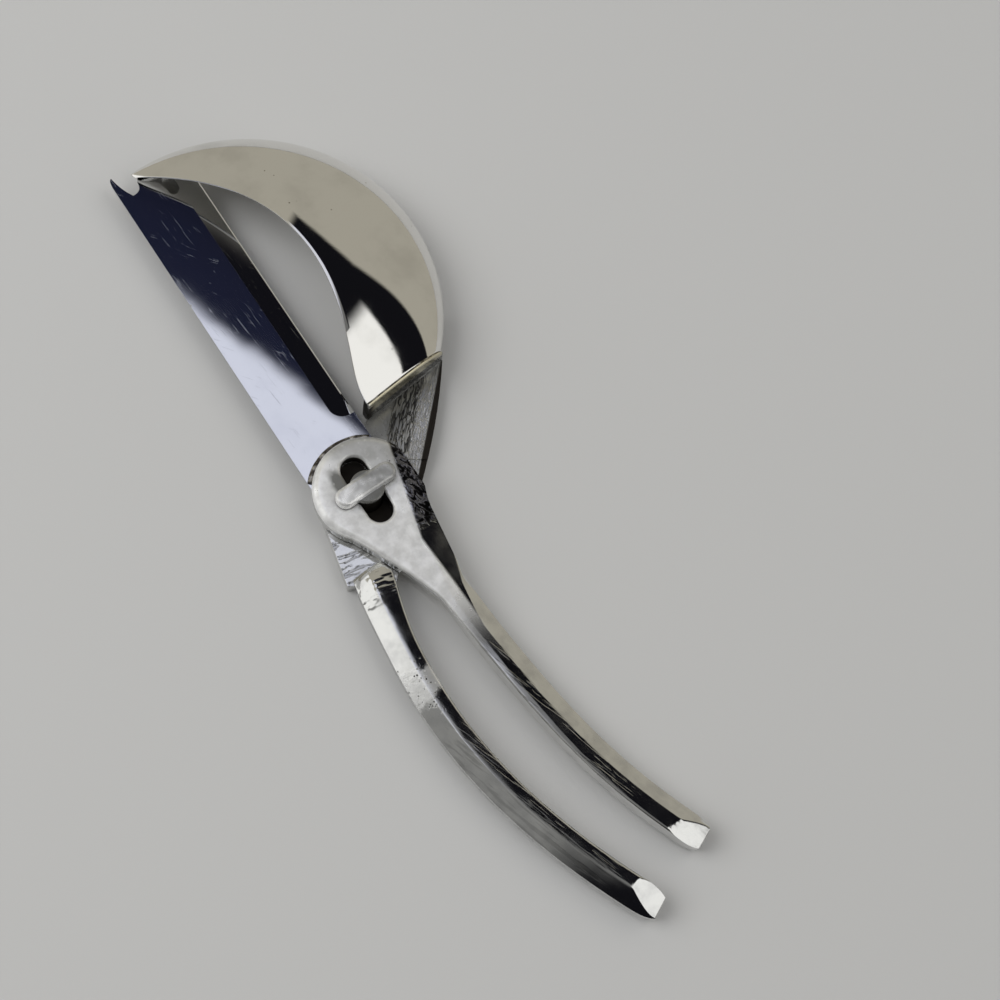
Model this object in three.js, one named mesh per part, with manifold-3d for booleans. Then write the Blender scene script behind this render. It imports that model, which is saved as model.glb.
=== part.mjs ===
// Two-lever clam opener: a knife blade on one lever, a domed shell cup on the other, and a hammer-headed
// stud that joins them. Millimetres, degrees. The origin is on the pivot axis in the plane that the tool
// lies on, +Y runs from the handles to the tip of the blade, +X is the cup's side and +Z is up.
import * as THREE from 'three';
import { mergeVertices, toCreasedNormals } from 'three/addons/utils/BufferGeometryUtils.js';
import Module from 'manifold-3d';

const wasm = await Module();
wasm.setup();

// Fits
const RUNNING_GAP = 0.3;
const SEAT_GAP = 0.3;

// Lap joint: a flat plate on the cup lever, a round eye on the blade lever
const LAP_THICKNESS = 4;
const LAP_RADIUS = 11.5;
const EYE_RADIUS = 12.8;
const EYE_SHIFT = 0.4;
const EYE_THICKNESS = 4.8;
const EYE_EDGE_ROUND = 1.9;
const DISH_DEPTH = 0.5;
const DISH_MARGIN = 0.7;

// Pivot stud
const STUD_DIAMETER = 7.6;
const STUD_TAIL_DIAMETER = 10;
const STUD_TAIL_DEPTH = 1.7;
const HEAD_LENGTH = 16;
const HEAD_WIDTH = 4.8;
const HEAD_THICKNESS = 2.8;
const HEAD_CREST = 0.5;
const HEAD_EDGE_ROUND = 0.9;
const HEAD_SKEW = 3;
const KEY_CLEARANCE = 0.9;

// Blade
const BLADE_LENGTH = 100.4;
const BLADE_WIDTH = 18.8;
const BLADE_THICKNESS = 1.5;
const BLADE_OFFSET = -0.9;
const BLADE_LAND = 0.25;
const BEVEL_WIDTH = 4.9;
const BEVEL_START = 0.02;
const BEVEL_HEEL = 18.6;
const BEVEL_HEEL_ROUND = 3.6;
const END_SLOPE = 8;
const END_ROUND = 3;
const NOTCH_DEPTH = 6.6;
const NOTCH_WIDTH = 2.6;
const NOTCH_LIP = 0.9;
const SPUR_WIDTH = 3.2;
const SPUR_TIP = 0.9;
const SPUR_HOOK = 0.65;
const TANG_MARGIN = 1.8;

// Handles
const HANDLE_WIDTH = 7.2;
const HANDLE_HEIGHT = 8.2;
const HANDLE_BEVEL_WIDTH = 3.9;
const HANDLE_BEVEL_DROP = 2.6;
const HANDLE_ROUND = 0.9;
const HANDLE_FOOT_ROUND = 2.8;
const HANDLE_LIFT = 0.3;
const HANDLE_END_TAPER = 8;
const HANDLE_END_WIDTH = 5;
const HANDLE_END_DROOP = 4.2;
const NECK_LENGTH = 31;
const NECK_INSET = 0.4;
const NECK_FLARE = 1.15;
const NECK_BEVEL_WIDTH = 5.3;
const NECK_DROP_LENGTH = 15;
const BLADE_HANDLE_REACH = 108.2;
const BLADE_HANDLE_SWAY = 20.4;
const BLADE_HANDLE_SWELL = 8;
const BLADE_HANDLE_SWELL_REACH = 45;
const BLADE_HANDLE_SWEEP = 3;
const BLADE_HANDLE_SWEEP_REACH = 70;
const CUP_HANDLE_REACH = 115;
const CUP_HANDLE_SWAY = 3.2;
const CUP_HANDLE_SWELL = -20;
const CUP_HANDLE_SWELL_REACH = 50;
const CUP_HANDLE_SWEEP = -13;
const CUP_HANDLE_SWEEP_REACH = 82;
const CUP_HANDLE_ROOT = -7.5;
const CUP_HANDLE_ROOT_WIDTH = 9.8;
const CUP_HANDLE_ROOT_LENGTH = 26;
const CLOSED_ANGLE = -2.5;

// Shoulders of the cup lever, on each side of the eye
const CUP_SHOULDER_GAP = 0.5;
const CUP_SHOULDER_SKEW = 9;
const HANDLE_SHOULDER_GAP = 2.9;
const LAP_CORNER = 3;
const LAP_RUN_IN = 10.5;
const ARM_BOW = 1.2;
const ARM_PROUD = 1;

// Shell cup
const CUP_RADIUS = 46.8;
const CUP_ROOT_SAG = 9;
const CUP_TIP_SETBACK = 1.3;
const CUP_WALL = 0.7;
const CUP_TIP_ANGLE = 96;
const CUP_TIP_WIDTH = 1.8;
const CUP_TIP_HEIGHT = 1.1;
const CUP_ROOT_GAP = 1.3;
const CUP_ROOT_RISE = 5.8;
const RIM_ARCH = 10.3;
const RIM_BOW = 15.6;
const RIM_RUN_OUT = 5;
const RIM_EASE = 0.06;
const RIM_ARCH_FULLNESS = 0.8;
const DOME_FULLNESS = 2;
const ROOT_FULLNESS = 3;
const CUP_SEAT_LENGTH = 13;
const CUP_SEAT_SETBACK = 0.7;
const BAR_WIDTH = 0.9;
const BAR_DROP = 0.2;
const BAR_PROUD = 0.6;

// Levels above the resting plane
const eyeBottom = LAP_THICKNESS + RUNNING_GAP;
const eyeTop = eyeBottom + EYE_THICKNESS;
const dishFloor = eyeTop - DISH_DEPTH;
const headBottom = dishFloor + RUNNING_GAP;
const bladeBottom = eyeBottom + SEAT_GAP / 2;
const bladeTop = bladeBottom + BLADE_THICKNESS;
const cupEdge = bladeTop + RUNNING_GAP;
const OVERCUT = 5;

// Facets
const ROUND_STEPS = 72;
const FILLET_STEPS = 4;
const CURVE_STEPS = 10;
const LEVER_STEPS = 40;
const END_STEPS = 5;
const DOME_STEPS = 12;
const CUP_STEPS = 44;
const SEAT_STEPS = 8;
const CREASE = 35;
const WELD = 1e-3;

const degrees = THREE.MathUtils.degToRad;
const smooth = THREE.MathUtils.smoothstep;
const mix = THREE.MathUtils.lerp;
const point = (x, y) => new THREE.Vector2(x, y);

// A closed mesh as a solid that can be joined and cut
function solid(geometry) {
  geometry.deleteAttribute('normal');
  geometry.deleteAttribute('uv');
  const merged = mergeVertices(geometry, WELD);
  return new wasm.Manifold(new wasm.Mesh({
    numProp: 3,
    vertProperties: Float32Array.from(merged.attributes.position.array),
    triVerts: Uint32Array.from(merged.index.array),
  }));
}

// A flat outline turned about the pivot axis and raised from one level to another
function slab(shape, bottom, top, turn = 0) {
  const geometry = new THREE.ExtrudeGeometry(shape, {
    depth: top - bottom, bevelEnabled: false, curveSegments: CURVE_STEPS,
  });
  return solid(geometry.rotateZ(degrees(turn)).translate(0, 0, bottom));
}

// A profile of radius and height turned about the pivot axis, or about an axis beside it
function turned(profile, shiftX = 0, shiftY = 0) {
  const geometry = new THREE.LatheGeometry(profile, ROUND_STEPS);
  return solid(geometry.rotateX(Math.PI / 2).translate(shiftX, shiftY, 0));
}

// A skin over a row of closed sections with equal numbers of points. The ends are flat; where a section is a
// wall, out along one face and back along the other, its ends are closed from face to face.
function loft(sections, wall = false) {
  const count = sections[0].length;
  const vertices = sections.flat();
  const triangles = [];
  for (let s = 0; s < sections.length - 1; s += 1) {
    for (let i = 0; i < count; i += 1) {
      const a = s * count + i;
      const b = s * count + (i + 1) % count;
      triangles.push(a, b, b + count, a, b + count, a + count);
    }
  }
  const last = (sections.length - 1) * count;
  [[0, true], [last, false]].forEach(([start, first]) => {
    const end = [];
    if (wall) {
      for (let i = 0; i < count / 2 - 1; i += 1) {
        const [a, b, c, d] = [i, i + 1, count - 2 - i, count - 1 - i].map((k) => start + k);
        end.push([a, b, c], [a, c, d]);
      }
    } else {
      const middle = new THREE.Vector3();
      vertices.slice(start, start + count).forEach((corner) => middle.addScaledVector(corner, 1 / count));
      vertices.push(middle);
      for (let i = 0; i < count; i += 1) {
        end.push([vertices.length - 1, start + i, start + (i + 1) % count]);
      }
    }
    end.forEach((triangle) => triangles.push(...(first ? triangle.reverse() : triangle)));
  });
  const geometry = new THREE.BufferGeometry().setFromPoints(vertices);
  geometry.setIndex(triangles);
  return solid(geometry);
}

// Points round the corner of a section, from one angle to another
function corner(x, z, radius, from, to) {
  return Array.from({ length: FILLET_STEPS + 1 }, (_, i) => {
    const angle = degrees(mix(from, to, i / FILLET_STEPS));
    return point(x + radius * Math.cos(angle), z + radius * Math.sin(angle));
  });
}

// Section of a lever: flat top, broad facet down the outer side, rounded inner edge and foot
function leverSection(size) {
  const { half, bottom, top, facetWidth, facetDrop, round, foot } = size;
  return [
    point(half - facetWidth, top),
    point(half, top - facetDrop),
    ...corner(half - foot, bottom + foot, foot, 0, -90),
    ...corner(-half + foot, bottom + foot, foot, -90, -180),
    ...corner(-half + round, top - round, round, 180, 90),
  ];
}

// A lever lofted along its centre line; side is +1 where the outer facet is on the +X side
function lever(line, side, sizeAt) {
  const length = line.getLength();
  const taperStart = 1 - HANDLE_END_TAPER / length;
  const sections = Array.from({ length: LEVER_STEPS + END_STEPS + 1 }, (_, i) => {
    const at = i < LEVER_STEPS
      ? taperStart * i / LEVER_STEPS
      : mix(taperStart, 1, (i - LEVER_STEPS) / END_STEPS);
    const centre = line.getPointAt(at);
    const along = line.getTangentAt(at);
    const across = point(-along.y, along.x).multiplyScalar(side);
    return leverSection(sizeAt(at * length, length)).map((place) => new THREE.Vector3(
      centre.x + across.x * place.x, centre.y + across.y * place.x, place.y,
    ));
  });
  return loft(side < 0 ? sections : sections.map((section) => section.reverse()));
}

// Both handles end in a flat slope ground down to the tip, with the corners rounded off
function handleEnd(distance, length) {
  const into = THREE.MathUtils.clamp((distance - length + HANDLE_END_TAPER) / HANDLE_END_TAPER, 0, 1);
  const droop = HANDLE_END_DROOP * into;
  const narrowing = into ** 4 * (HANDLE_WIDTH - HANDLE_END_WIDTH) / 2;
  return {
    narrowing,
    facetShare: 1 - 2 * narrowing / HANDLE_WIDTH,
    droop,
    share: 1 - droop / HANDLE_HEIGHT,
  };
}

// Bar of the stud's head in outline, with round ends
function headOutline(clearance) {
  const round = HEAD_WIDTH / 2 + clearance;
  const reach = HEAD_LENGTH / 2 - HEAD_WIDTH / 2;
  const shape = new THREE.Shape();
  shape.absarc(reach, 0, round, -Math.PI / 2, Math.PI / 2, false);
  shape.absarc(-reach, 0, round, Math.PI / 2, 3 * Math.PI / 2, false);
  return shape;
}

// Blade in outline: round tang about the pivot, straight back, clawed spur, notch, sloping end, edge
const bladeBack = BLADE_OFFSET - BLADE_WIDTH / 2;
const bladeFront = BLADE_OFFSET + BLADE_WIDTH / 2;
const tangRadius = EYE_RADIUS - TANG_MARGIN;

function bladeOutline(clearance) {
  const back = bladeBack - clearance;
  const front = bladeFront + clearance;
  const tang = tangRadius + clearance;
  const notchBottom = BLADE_LENGTH - NOTCH_DEPTH;
  const notchLeft = bladeBack + SPUR_WIDTH;
  const notchRight = notchLeft + NOTCH_WIDTH;
  const spurTip = bladeBack + SPUR_TIP;
  const endCorner = BLADE_LENGTH - END_SLOPE;
  const shape = new THREE.Shape();
  shape.absarc(0, 0, tang, -Math.acos(back / tang), Math.acos(front / tang), false);
  shape.lineTo(front, endCorner - END_ROUND);
  shape.quadraticCurveTo(front, endCorner, front - END_ROUND, endCorner + NOTCH_LIP);
  shape.lineTo(notchRight + NOTCH_LIP, BLADE_LENGTH - NOTCH_WIDTH);
  shape.lineTo(notchRight, notchBottom + NOTCH_WIDTH);
  shape.quadraticCurveTo(notchRight, notchBottom, notchLeft, notchBottom);
  shape.quadraticCurveTo(spurTip + SPUR_HOOK, notchBottom + NOTCH_WIDTH, spurTip, BLADE_LENGTH);
  shape.quadraticCurveTo(back, BLADE_LENGTH, back, BLADE_LENGTH - SPUR_WIDTH);
  shape.closePath();
  return shape;
}

// Material ground off one face of the blade: a flat that deepens to the edge, with a rounded heel
function bevelCut(face, direction) {
  const inner = bladeFront - BEVEL_WIDTH;
  const far = BLADE_LENGTH + OVERCUT;
  const outer = bladeFront + OVERCUT;
  const zone = new THREE.Shape();
  zone.moveTo(outer, BEVEL_HEEL);
  zone.lineTo(outer, far);
  zone.lineTo(inner, far);
  zone.lineTo(inner, BEVEL_HEEL + BEVEL_HEEL_ROUND);
  zone.absarc(inner + BEVEL_HEEL_ROUND, BEVEL_HEEL + BEVEL_HEEL_ROUND, BEVEL_HEEL_ROUND,
    Math.PI, 3 * Math.PI / 2, false);
  const depth = (BLADE_THICKNESS - BLADE_LAND) / 2;
  const geometry = new THREE.ExtrudeGeometry(zone, {
    depth: 1, bevelEnabled: false, curveSegments: CURVE_STEPS,
  });
  const place = geometry.attributes.position;
  for (let i = 0; i < place.count; i += 1) {
    const ground = depth * (place.getX(i) - inner) / BEVEL_WIDTH;
    const onFace = (place.getZ(i) === 1) === (direction > 0);
    place.setZ(i, onFace ? face + direction * OVERCUT : face - direction * (ground + BEVEL_START));
  }
  return solid(geometry);
}

// Centre lines of the two handles, each one curve from the joint to the handle's end
const bladeHandleLine = new THREE.CubicBezierCurve(
  point(0, 0),
  point(BLADE_HANDLE_SWELL, -BLADE_HANDLE_SWELL_REACH),
  point(BLADE_HANDLE_SWEEP, -BLADE_HANDLE_SWEEP_REACH),
  point(BLADE_HANDLE_SWAY, -BLADE_HANDLE_REACH),
);
const cupHandleLine = new THREE.CubicBezierCurve(
  point(CUP_HANDLE_ROOT, -LAP_RADIUS),
  point(CUP_HANDLE_SWELL, -CUP_HANDLE_SWELL_REACH),
  point(CUP_HANDLE_SWEEP, -CUP_HANDLE_SWEEP_REACH),
  point(CUP_HANDLE_SWAY, -CUP_HANDLE_REACH),
);

// Blade lever from eye to handle end: the neck keeps above the lap plate, then drops to handle level
function bladeLeverSize(distance, length) {
  const end = handleEnd(distance, length);
  const neck = Math.max(0, 1 - distance / NECK_LENGTH) ** NECK_FLARE;
  const drop = smooth(distance, NECK_LENGTH, NECK_LENGTH + NECK_DROP_LENGTH);
  return {
    half: mix(HANDLE_WIDTH / 2, EYE_RADIUS - NECK_INSET, neck) - end.narrowing,
    bottom: mix(eyeBottom, HANDLE_LIFT, drop),
    top: mix(eyeTop, HANDLE_LIFT + HANDLE_HEIGHT, drop) - end.droop,
    facetWidth: mix(HANDLE_BEVEL_WIDTH, NECK_BEVEL_WIDTH, neck) * end.facetShare,
    facetDrop: HANDLE_BEVEL_DROP * end.share,
    round: mix(HANDLE_ROUND, EYE_EDGE_ROUND, neck),
    foot: mix(RUNNING_GAP, HANDLE_FOOT_ROUND, drop) * end.share,
  };
}

function cupLeverSize(distance, length) {
  const end = handleEnd(distance, length);
  const root = 1 - smooth(distance, 0, CUP_HANDLE_ROOT_LENGTH);
  return {
    half: mix(HANDLE_WIDTH, CUP_HANDLE_ROOT_WIDTH, root) / 2 - end.narrowing,
    bottom: 0,
    top: HANDLE_HEIGHT - end.droop,
    facetWidth: HANDLE_BEVEL_WIDTH * end.facetShare,
    facetDrop: HANDLE_BEVEL_DROP * end.share,
    round: HANDLE_ROUND,
    foot: HANDLE_FOOT_ROUND * end.share,
  };
}

// Round eye with a crowned edge
const eye = turned([
  point(0, eyeBottom),
  point(EYE_RADIUS, eyeBottom),
  ...corner(EYE_RADIUS - EYE_EDGE_ROUND, eyeTop - EYE_EDGE_ROUND, EYE_EDGE_ROUND, 0, 90),
  point(0, eyeTop),
], EYE_SHIFT, EYE_SHIFT);

// Key slot: a round bore for the shank, with the way through for the head across it
const studRadius = STUD_DIAMETER / 2;
const keySlot = slab(headOutline(KEY_CLEARANCE), 0, eyeTop + OVERCUT, 90).add(turned([
  point(0, 0),
  point(studRadius + RUNNING_GAP, 0),
  point(studRadius + RUNNING_GAP, eyeTop + OVERCUT),
  point(0, eyeTop + OVERCUT),
]));
const dishRadius = HEAD_LENGTH / 2 + DISH_MARGIN;
const dish = turned([
  point(0, dishFloor),
  point(dishRadius - DISH_DEPTH, dishFloor),
  point(dishRadius, eyeTop),
  point(dishRadius, eyeTop + OVERCUT),
  point(0, eyeTop + OVERCUT),
]);
const tangRebate = slab(bladeOutline(SEAT_GAP), eyeBottom - OVERCUT, bladeTop + SEAT_GAP);
const bladeLever = lever(bladeHandleLine, 1, bladeLeverSize)
  .add(eye)
  .subtract(keySlot)
  .subtract(dish)
  .subtract(tangRebate);

const blade = slab(bladeOutline(0), bladeBottom, bladeTop)
  .subtract(keySlot)
  .subtract(bevelCut(bladeTop, 1))
  .subtract(bevelCut(bladeBottom, -1));

// Shoulder line beside the cup, clear of the eye as it turns, and set askew
const eyeReach = EYE_RADIUS + EYE_SHIFT * Math.SQRT2;
const shoulderAlong = point(Math.cos(degrees(CUP_SHOULDER_SKEW)), Math.sin(degrees(CUP_SHOULDER_SKEW)));
const shoulderFoot = point(-shoulderAlong.y, shoulderAlong.x).multiplyScalar(eyeReach + CUP_SHOULDER_GAP);

function onShoulder(x) {
  return shoulderFoot.clone().addScaledVector(shoulderAlong, (x - shoulderFoot.x) / shoulderAlong.x);
}

// Outer edge of the cup in plan: a round that the shoulder line cuts off at the root, and that beyond its
// middle is drawn out to the blade's tip
const cupMiddle = onShoulder(0).add(point(0, (CUP_RADIUS - CUP_ROOT_SAG) / shoulderAlong.x));
const cupReach = BLADE_LENGTH - CUP_TIP_SETBACK - cupMiddle.y;
const nearest = cupMiddle.clone().sub(shoulderFoot).dot(shoulderAlong);
const cupRootOuter = shoulderFoot.clone()
  .addScaledVector(shoulderAlong, nearest + Math.sqrt((2 * CUP_RADIUS - CUP_ROOT_SAG) * CUP_ROOT_SAG));
const cupRootAngle = THREE.MathUtils.radToDeg(cupRootOuter.clone().sub(cupMiddle).angle()) - 360;

function cupOuter(at) {
  const angle = degrees(mix(CUP_TIP_ANGLE, cupRootAngle, at));
  const reach = angle > 0 ? cupReach : CUP_RADIUS;
  return point(CUP_RADIUS * Math.cos(angle), reach * Math.sin(angle)).add(cupMiddle);
}

// Rim of the cup: bowed in plan from the tip to a short straight run at the root, arched in height
const rimTip = cupOuter(0).add(cupMiddle.clone().sub(cupOuter(0)).setLength(CUP_TIP_WIDTH));
const rimRoot = onShoulder(bladeFront + CUP_ROOT_GAP);
const rimBowSide = rimRoot.clone().sub(rimTip).normalize();
const rimBowEnd = 1 - RIM_RUN_OUT / rimTip.distanceTo(rimRoot);

function cupRim(at) {
  const left = 1 - at / rimBowEnd;
  const bow = 2 * RIM_BOW * (1 - left) * (left + Math.hypot(left, RIM_EASE));
  return rimTip.clone().lerp(rimRoot, at).add(point(-rimBowSide.y, rimBowSide.x).multiplyScalar(bow));
}

function rimHeight(at) {
  const arch = Math.sin(Math.PI * THREE.MathUtils.clamp(at, 0, 1)) ** RIM_ARCH_FULLNESS;
  return mix(CUP_TIP_HEIGHT, CUP_ROOT_RISE, at) + RIM_ARCH * arch;
}

// Profile of the dome: a quarter of a superellipse from the outer edge up to the rim
function domeProfile(at, inset = 0, drop = inset, setback = 0) {
  const outer = cupOuter(at);
  const rim = cupRim(at);
  const width = outer.distanceTo(rim) - inset;
  const height = rimHeight(at) - drop;
  const outward = outer.sub(rim).normalize();
  const power = 2 / mix(DOME_FULLNESS, ROOT_FULLNESS, at ** 4);
  return Array.from({ length: DOME_STEPS + 1 }, (_, i) => {
    const angle = i / DOME_STEPS * Math.PI / 2;
    const across = Math.max(setback, width * Math.cos(angle) ** power);
    const up = cupEdge + height * Math.sin(angle) ** power;
    return new THREE.Vector3(rim.x + outward.x * across, rim.y + outward.y * across, up);
  });
}

// The pressed shell: outer and inner skins of the dome, closed along edge, rim, tip and root. Its root meets
// the bar of the cup lever.
const cupArc = CUP_RADIUS * degrees(CUP_TIP_ANGLE - cupRootAngle);
const barStart = 1 - BAR_WIDTH / cupArc;
const cupEnd = barStart - SEAT_GAP / cupArc;
const shellCup = loft(Array.from({ length: CUP_STEPS + 1 }, (_, i) => [
  ...domeProfile(cupEnd * i / CUP_STEPS),
  ...domeProfile(cupEnd * i / CUP_STEPS, CUP_WALL).reverse(),
]), true);

// Cup lever: lap plate, cup seat and handle in one casting
const handleShoulder = -(eyeReach + HANDLE_SHOULDER_GAP);
const lapCorner = point(CUP_HANDLE_ROOT - CUP_HANDLE_ROOT_WIDTH / 2 - LAP_CORNER, handleShoulder);
const handleInner = cupHandleLine.getPointAt(LAP_RUN_IN / cupHandleLine.getLength())
  .add(point(CUP_HANDLE_ROOT_WIDTH / 2, 0));

// Angle at which a line from a point outside touches the lap plate's round; turn is the side that it passes
function touch(from, turn) {
  return from.angle() + turn * Math.acos(LAP_RADIUS / from.length());
}

// Points on the round of the lap plate between two angles, a fixed step apart
function lapRound(from, to) {
  const steps = Math.ceil((to - from) / (2 * Math.PI) * ROUND_STEPS);
  return Array.from({ length: steps + 1 }, (_, i) => {
    const angle = mix(from, to, i / steps);
    return point(LAP_RADIUS * Math.cos(angle), LAP_RADIUS * Math.sin(angle));
  });
}

// Plan of the lap plate: a round about the pivot, an arm that runs in under the cup seat, and a corner that
// runs in under the handle
const armOuter = cupRootOuter.clone().addScaledVector(shoulderAlong, ARM_PROUD);
const armInner = onShoulder(rimRoot.x + CUP_SEAT_SETBACK);
const armTouch = touch(armOuter, -1);
const armFoot = point(Math.cos(armTouch), Math.sin(armTouch)).multiplyScalar(LAP_RADIUS);
const armLine = armOuter.clone().sub(armFoot).normalize();
const armBow = armFoot.clone().lerp(armOuter, 1 / 2)
  .add(point(armLine.y, -armLine.x).multiplyScalar(2 * ARM_BOW));
const armEdge = new THREE.QuadraticBezierCurve(armFoot, armBow, armOuter);
const lapPlan = new THREE.Shape([
  lapCorner,
  handleInner,
  ...lapRound(touch(handleInner, 1), armTouch + 2 * Math.PI),
  ...armEdge.getPoints(CURVE_STEPS).slice(1),
  armOuter.clone().add(point(-OVERCUT, OVERCUT)),
  armInner.clone().add(point(OVERCUT, OVERCUT)),
  armInner,
  ...lapRound(touch(armInner, 1), touch(lapCorner, -1)),
]);

// Recess between the two shoulders, which the eye swings in
const recess = slab(new THREE.Shape([
  point(-2 * CUP_RADIUS, handleShoulder),
  point(2 * CUP_RADIUS, handleShoulder),
  onShoulder(2 * CUP_RADIUS),
  onShoulder(-2 * CUP_RADIUS),
]), -OVERCUT, cupEdge + CUP_RADIUS);

// A section of the casting under the dome, from a profile of it down to the underside of the arm
function underDome(profile) {
  const underside = [profile.at(-1), profile[0]].map((place) => place.clone().setZ(0));
  return [...profile, ...underside];
}

// Raised seat inside the root of the cup, and the bevelled bar in front of it that the cup's root meets
const seatInset = CUP_WALL + SEAT_GAP;
const seatStart = cupEnd - CUP_SEAT_LENGTH / cupArc;
const cupSeat = loft(Array.from({ length: SEAT_STEPS + 1 }, (_, i) => {
  const at = mix(seatStart, (barStart + 1) / 2, i / SEAT_STEPS);
  return underDome(domeProfile(at, seatInset, seatInset, CUP_SEAT_SETBACK));
}));
const bar = loft([0, 1, 2].map((step) => {
  const drop = mix(-BAR_PROUD, BAR_DROP, step);
  return underDome(domeProfile(mix(barStart, 1, step), -BAR_PROUD, drop));
})).subtract(recess);

// Handle, clear of the blade lever's neck where the tool is closed
const closedLine = new THREE.CubicBezierCurve(
  ...[bladeHandleLine.v0, bladeHandleLine.v1, bladeHandleLine.v2, bladeHandleLine.v3]
    .map((place) => place.clone().rotateAround(point(0, 0), degrees(CLOSED_ANGLE))),
);
const neckRoom = lever(closedLine, 1, (distance, length) => ({
  half: bladeLeverSize(distance, length).half + RUNNING_GAP,
  bottom: -OVERCUT,
  top: eyeTop + OVERCUT,
  facetWidth: RUNNING_GAP,
  facetDrop: RUNNING_GAP,
  round: RUNNING_GAP,
  foot: RUNNING_GAP,
}));
const cupHandle = lever(cupHandleLine, -1, cupLeverSize)
  .subtract(recess)
  .subtract(neckRoom);

const tailRadius = STUD_TAIL_DIAMETER / 2;
const studHole = turned([
  point(0, -OVERCUT),
  point(tailRadius + SEAT_GAP, -OVERCUT),
  point(tailRadius + SEAT_GAP, 0),
  point(studRadius + SEAT_GAP, STUD_TAIL_DEPTH + SEAT_GAP),
  point(studRadius + SEAT_GAP, eyeBottom),
  point(0, eyeBottom),
]);
const cupLever = slab(lapPlan, 0, LAP_THICKNESS)
  .add(cupSeat)
  .add(bar)
  .add(cupHandle)
  .subtract(studHole);

// Stud: countersunk tail, shank with a round top, and the bar of the head across it
const headGeometry = new THREE.ExtrudeGeometry(headOutline(-HEAD_EDGE_ROUND), {
  depth: HEAD_THICKNESS - 2 * HEAD_EDGE_ROUND,
  bevelThickness: HEAD_EDGE_ROUND,
  bevelSize: HEAD_EDGE_ROUND,
  bevelSegments: FILLET_STEPS,
  curveSegments: CURVE_STEPS,
});
const head = solid(headGeometry.rotateZ(degrees(HEAD_SKEW)).translate(0, 0, headBottom + HEAD_EDGE_ROUND));
const studTop = headBottom + HEAD_THICKNESS - HEAD_CREST;
const pivotStud = turned([
  point(0, 0),
  point(tailRadius, 0),
  point(studRadius, STUD_TAIL_DEPTH),
  ...corner(studRadius - HEAD_EDGE_ROUND, studTop - HEAD_EDGE_ROUND, HEAD_EDGE_ROUND, 0, 90),
  point(0, studTop),
]).add(head);

const castMetal = new THREE.MeshStandardMaterial({ color: 0xb9bab6, roughness: 0.28, metalness: 1 });
const bladeMetal = new THREE.MeshStandardMaterial({ color: 0xc9ccd2, roughness: 0.1, metalness: 1 });
const cupMetal = new THREE.MeshStandardMaterial({ color: 0xc6c4bd, roughness: 0.1, metalness: 1 });
const studMetal = new THREE.MeshStandardMaterial({ color: 0xaeaeaa, roughness: 0.35, metalness: 1 });

function piece(name, body, material) {
  const mesh = body.getMesh();
  const cut = new THREE.BufferGeometry();
  cut.setAttribute('position', new THREE.BufferAttribute(mesh.vertProperties, mesh.numProp));
  cut.setIndex(new THREE.BufferAttribute(mesh.triVerts, 1));
  const geometry = mergeVertices(cut, WELD);
  const corners = Array.from(geometry.index.array);
  const whole = (_, i) => new Set(corners.slice(i - i % 3, i - i % 3 + 3)).size === 3;
  geometry.setIndex(corners.filter(whole));
  const result = new THREE.Mesh(toCreasedNormals(geometry, degrees(CREASE)), material);
  result.name = name;
  return result;
}

const clamOpener = new THREE.Group();
clamOpener.add(
  piece('cup_lever', cupLever, castMetal),
  piece('shell_cup', shellCup, cupMetal),
  piece('pivot_stud', pivotStud, studMetal),
  piece('blade_lever', bladeLever, castMetal),
  piece('blade', blade, bladeMetal),
);

export default clamOpener;
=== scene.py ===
import math

import bpy
import numpy as np
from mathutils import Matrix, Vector


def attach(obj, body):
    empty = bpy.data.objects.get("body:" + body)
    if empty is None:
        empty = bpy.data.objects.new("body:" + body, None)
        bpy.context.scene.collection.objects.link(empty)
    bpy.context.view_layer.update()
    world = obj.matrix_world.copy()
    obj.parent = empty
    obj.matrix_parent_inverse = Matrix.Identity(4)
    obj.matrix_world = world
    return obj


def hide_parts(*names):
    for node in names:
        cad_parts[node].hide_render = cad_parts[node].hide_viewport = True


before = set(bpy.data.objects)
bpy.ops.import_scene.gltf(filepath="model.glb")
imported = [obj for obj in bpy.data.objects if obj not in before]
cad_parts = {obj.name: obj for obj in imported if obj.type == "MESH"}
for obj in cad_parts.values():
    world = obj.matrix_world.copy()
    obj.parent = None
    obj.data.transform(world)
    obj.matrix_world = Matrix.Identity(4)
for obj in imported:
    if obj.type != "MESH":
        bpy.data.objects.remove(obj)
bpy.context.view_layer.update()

# Table, room and standpoint. The tool lies on a plain pale table in a room with a light ceiling, a dark
# screen beyond the tool and a warm wall round it, and is looked down on from the left of its handles.
MM = 0.001
scene = bpy.context.scene
scene.view_settings.view_transform = "Standard"

STAND_PLACE = (-79.4, -97.6, 382.0)
STAND_TURN = (18.25, -6.48, -33.91)
LENS_LENGTH = 61.2
lens = bpy.data.cameras.new("standpoint")
lens.sensor_width = 36
lens.lens = LENS_LENGTH
lens.clip_start = 0.01
standpoint = bpy.data.objects.new("standpoint", lens)
standpoint.location = Vector(STAND_PLACE) * MM
standpoint.rotation_euler = [math.radians(angle) for angle in STAND_TURN]
scene.collection.objects.link(standpoint)
scene.camera = standpoint


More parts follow.
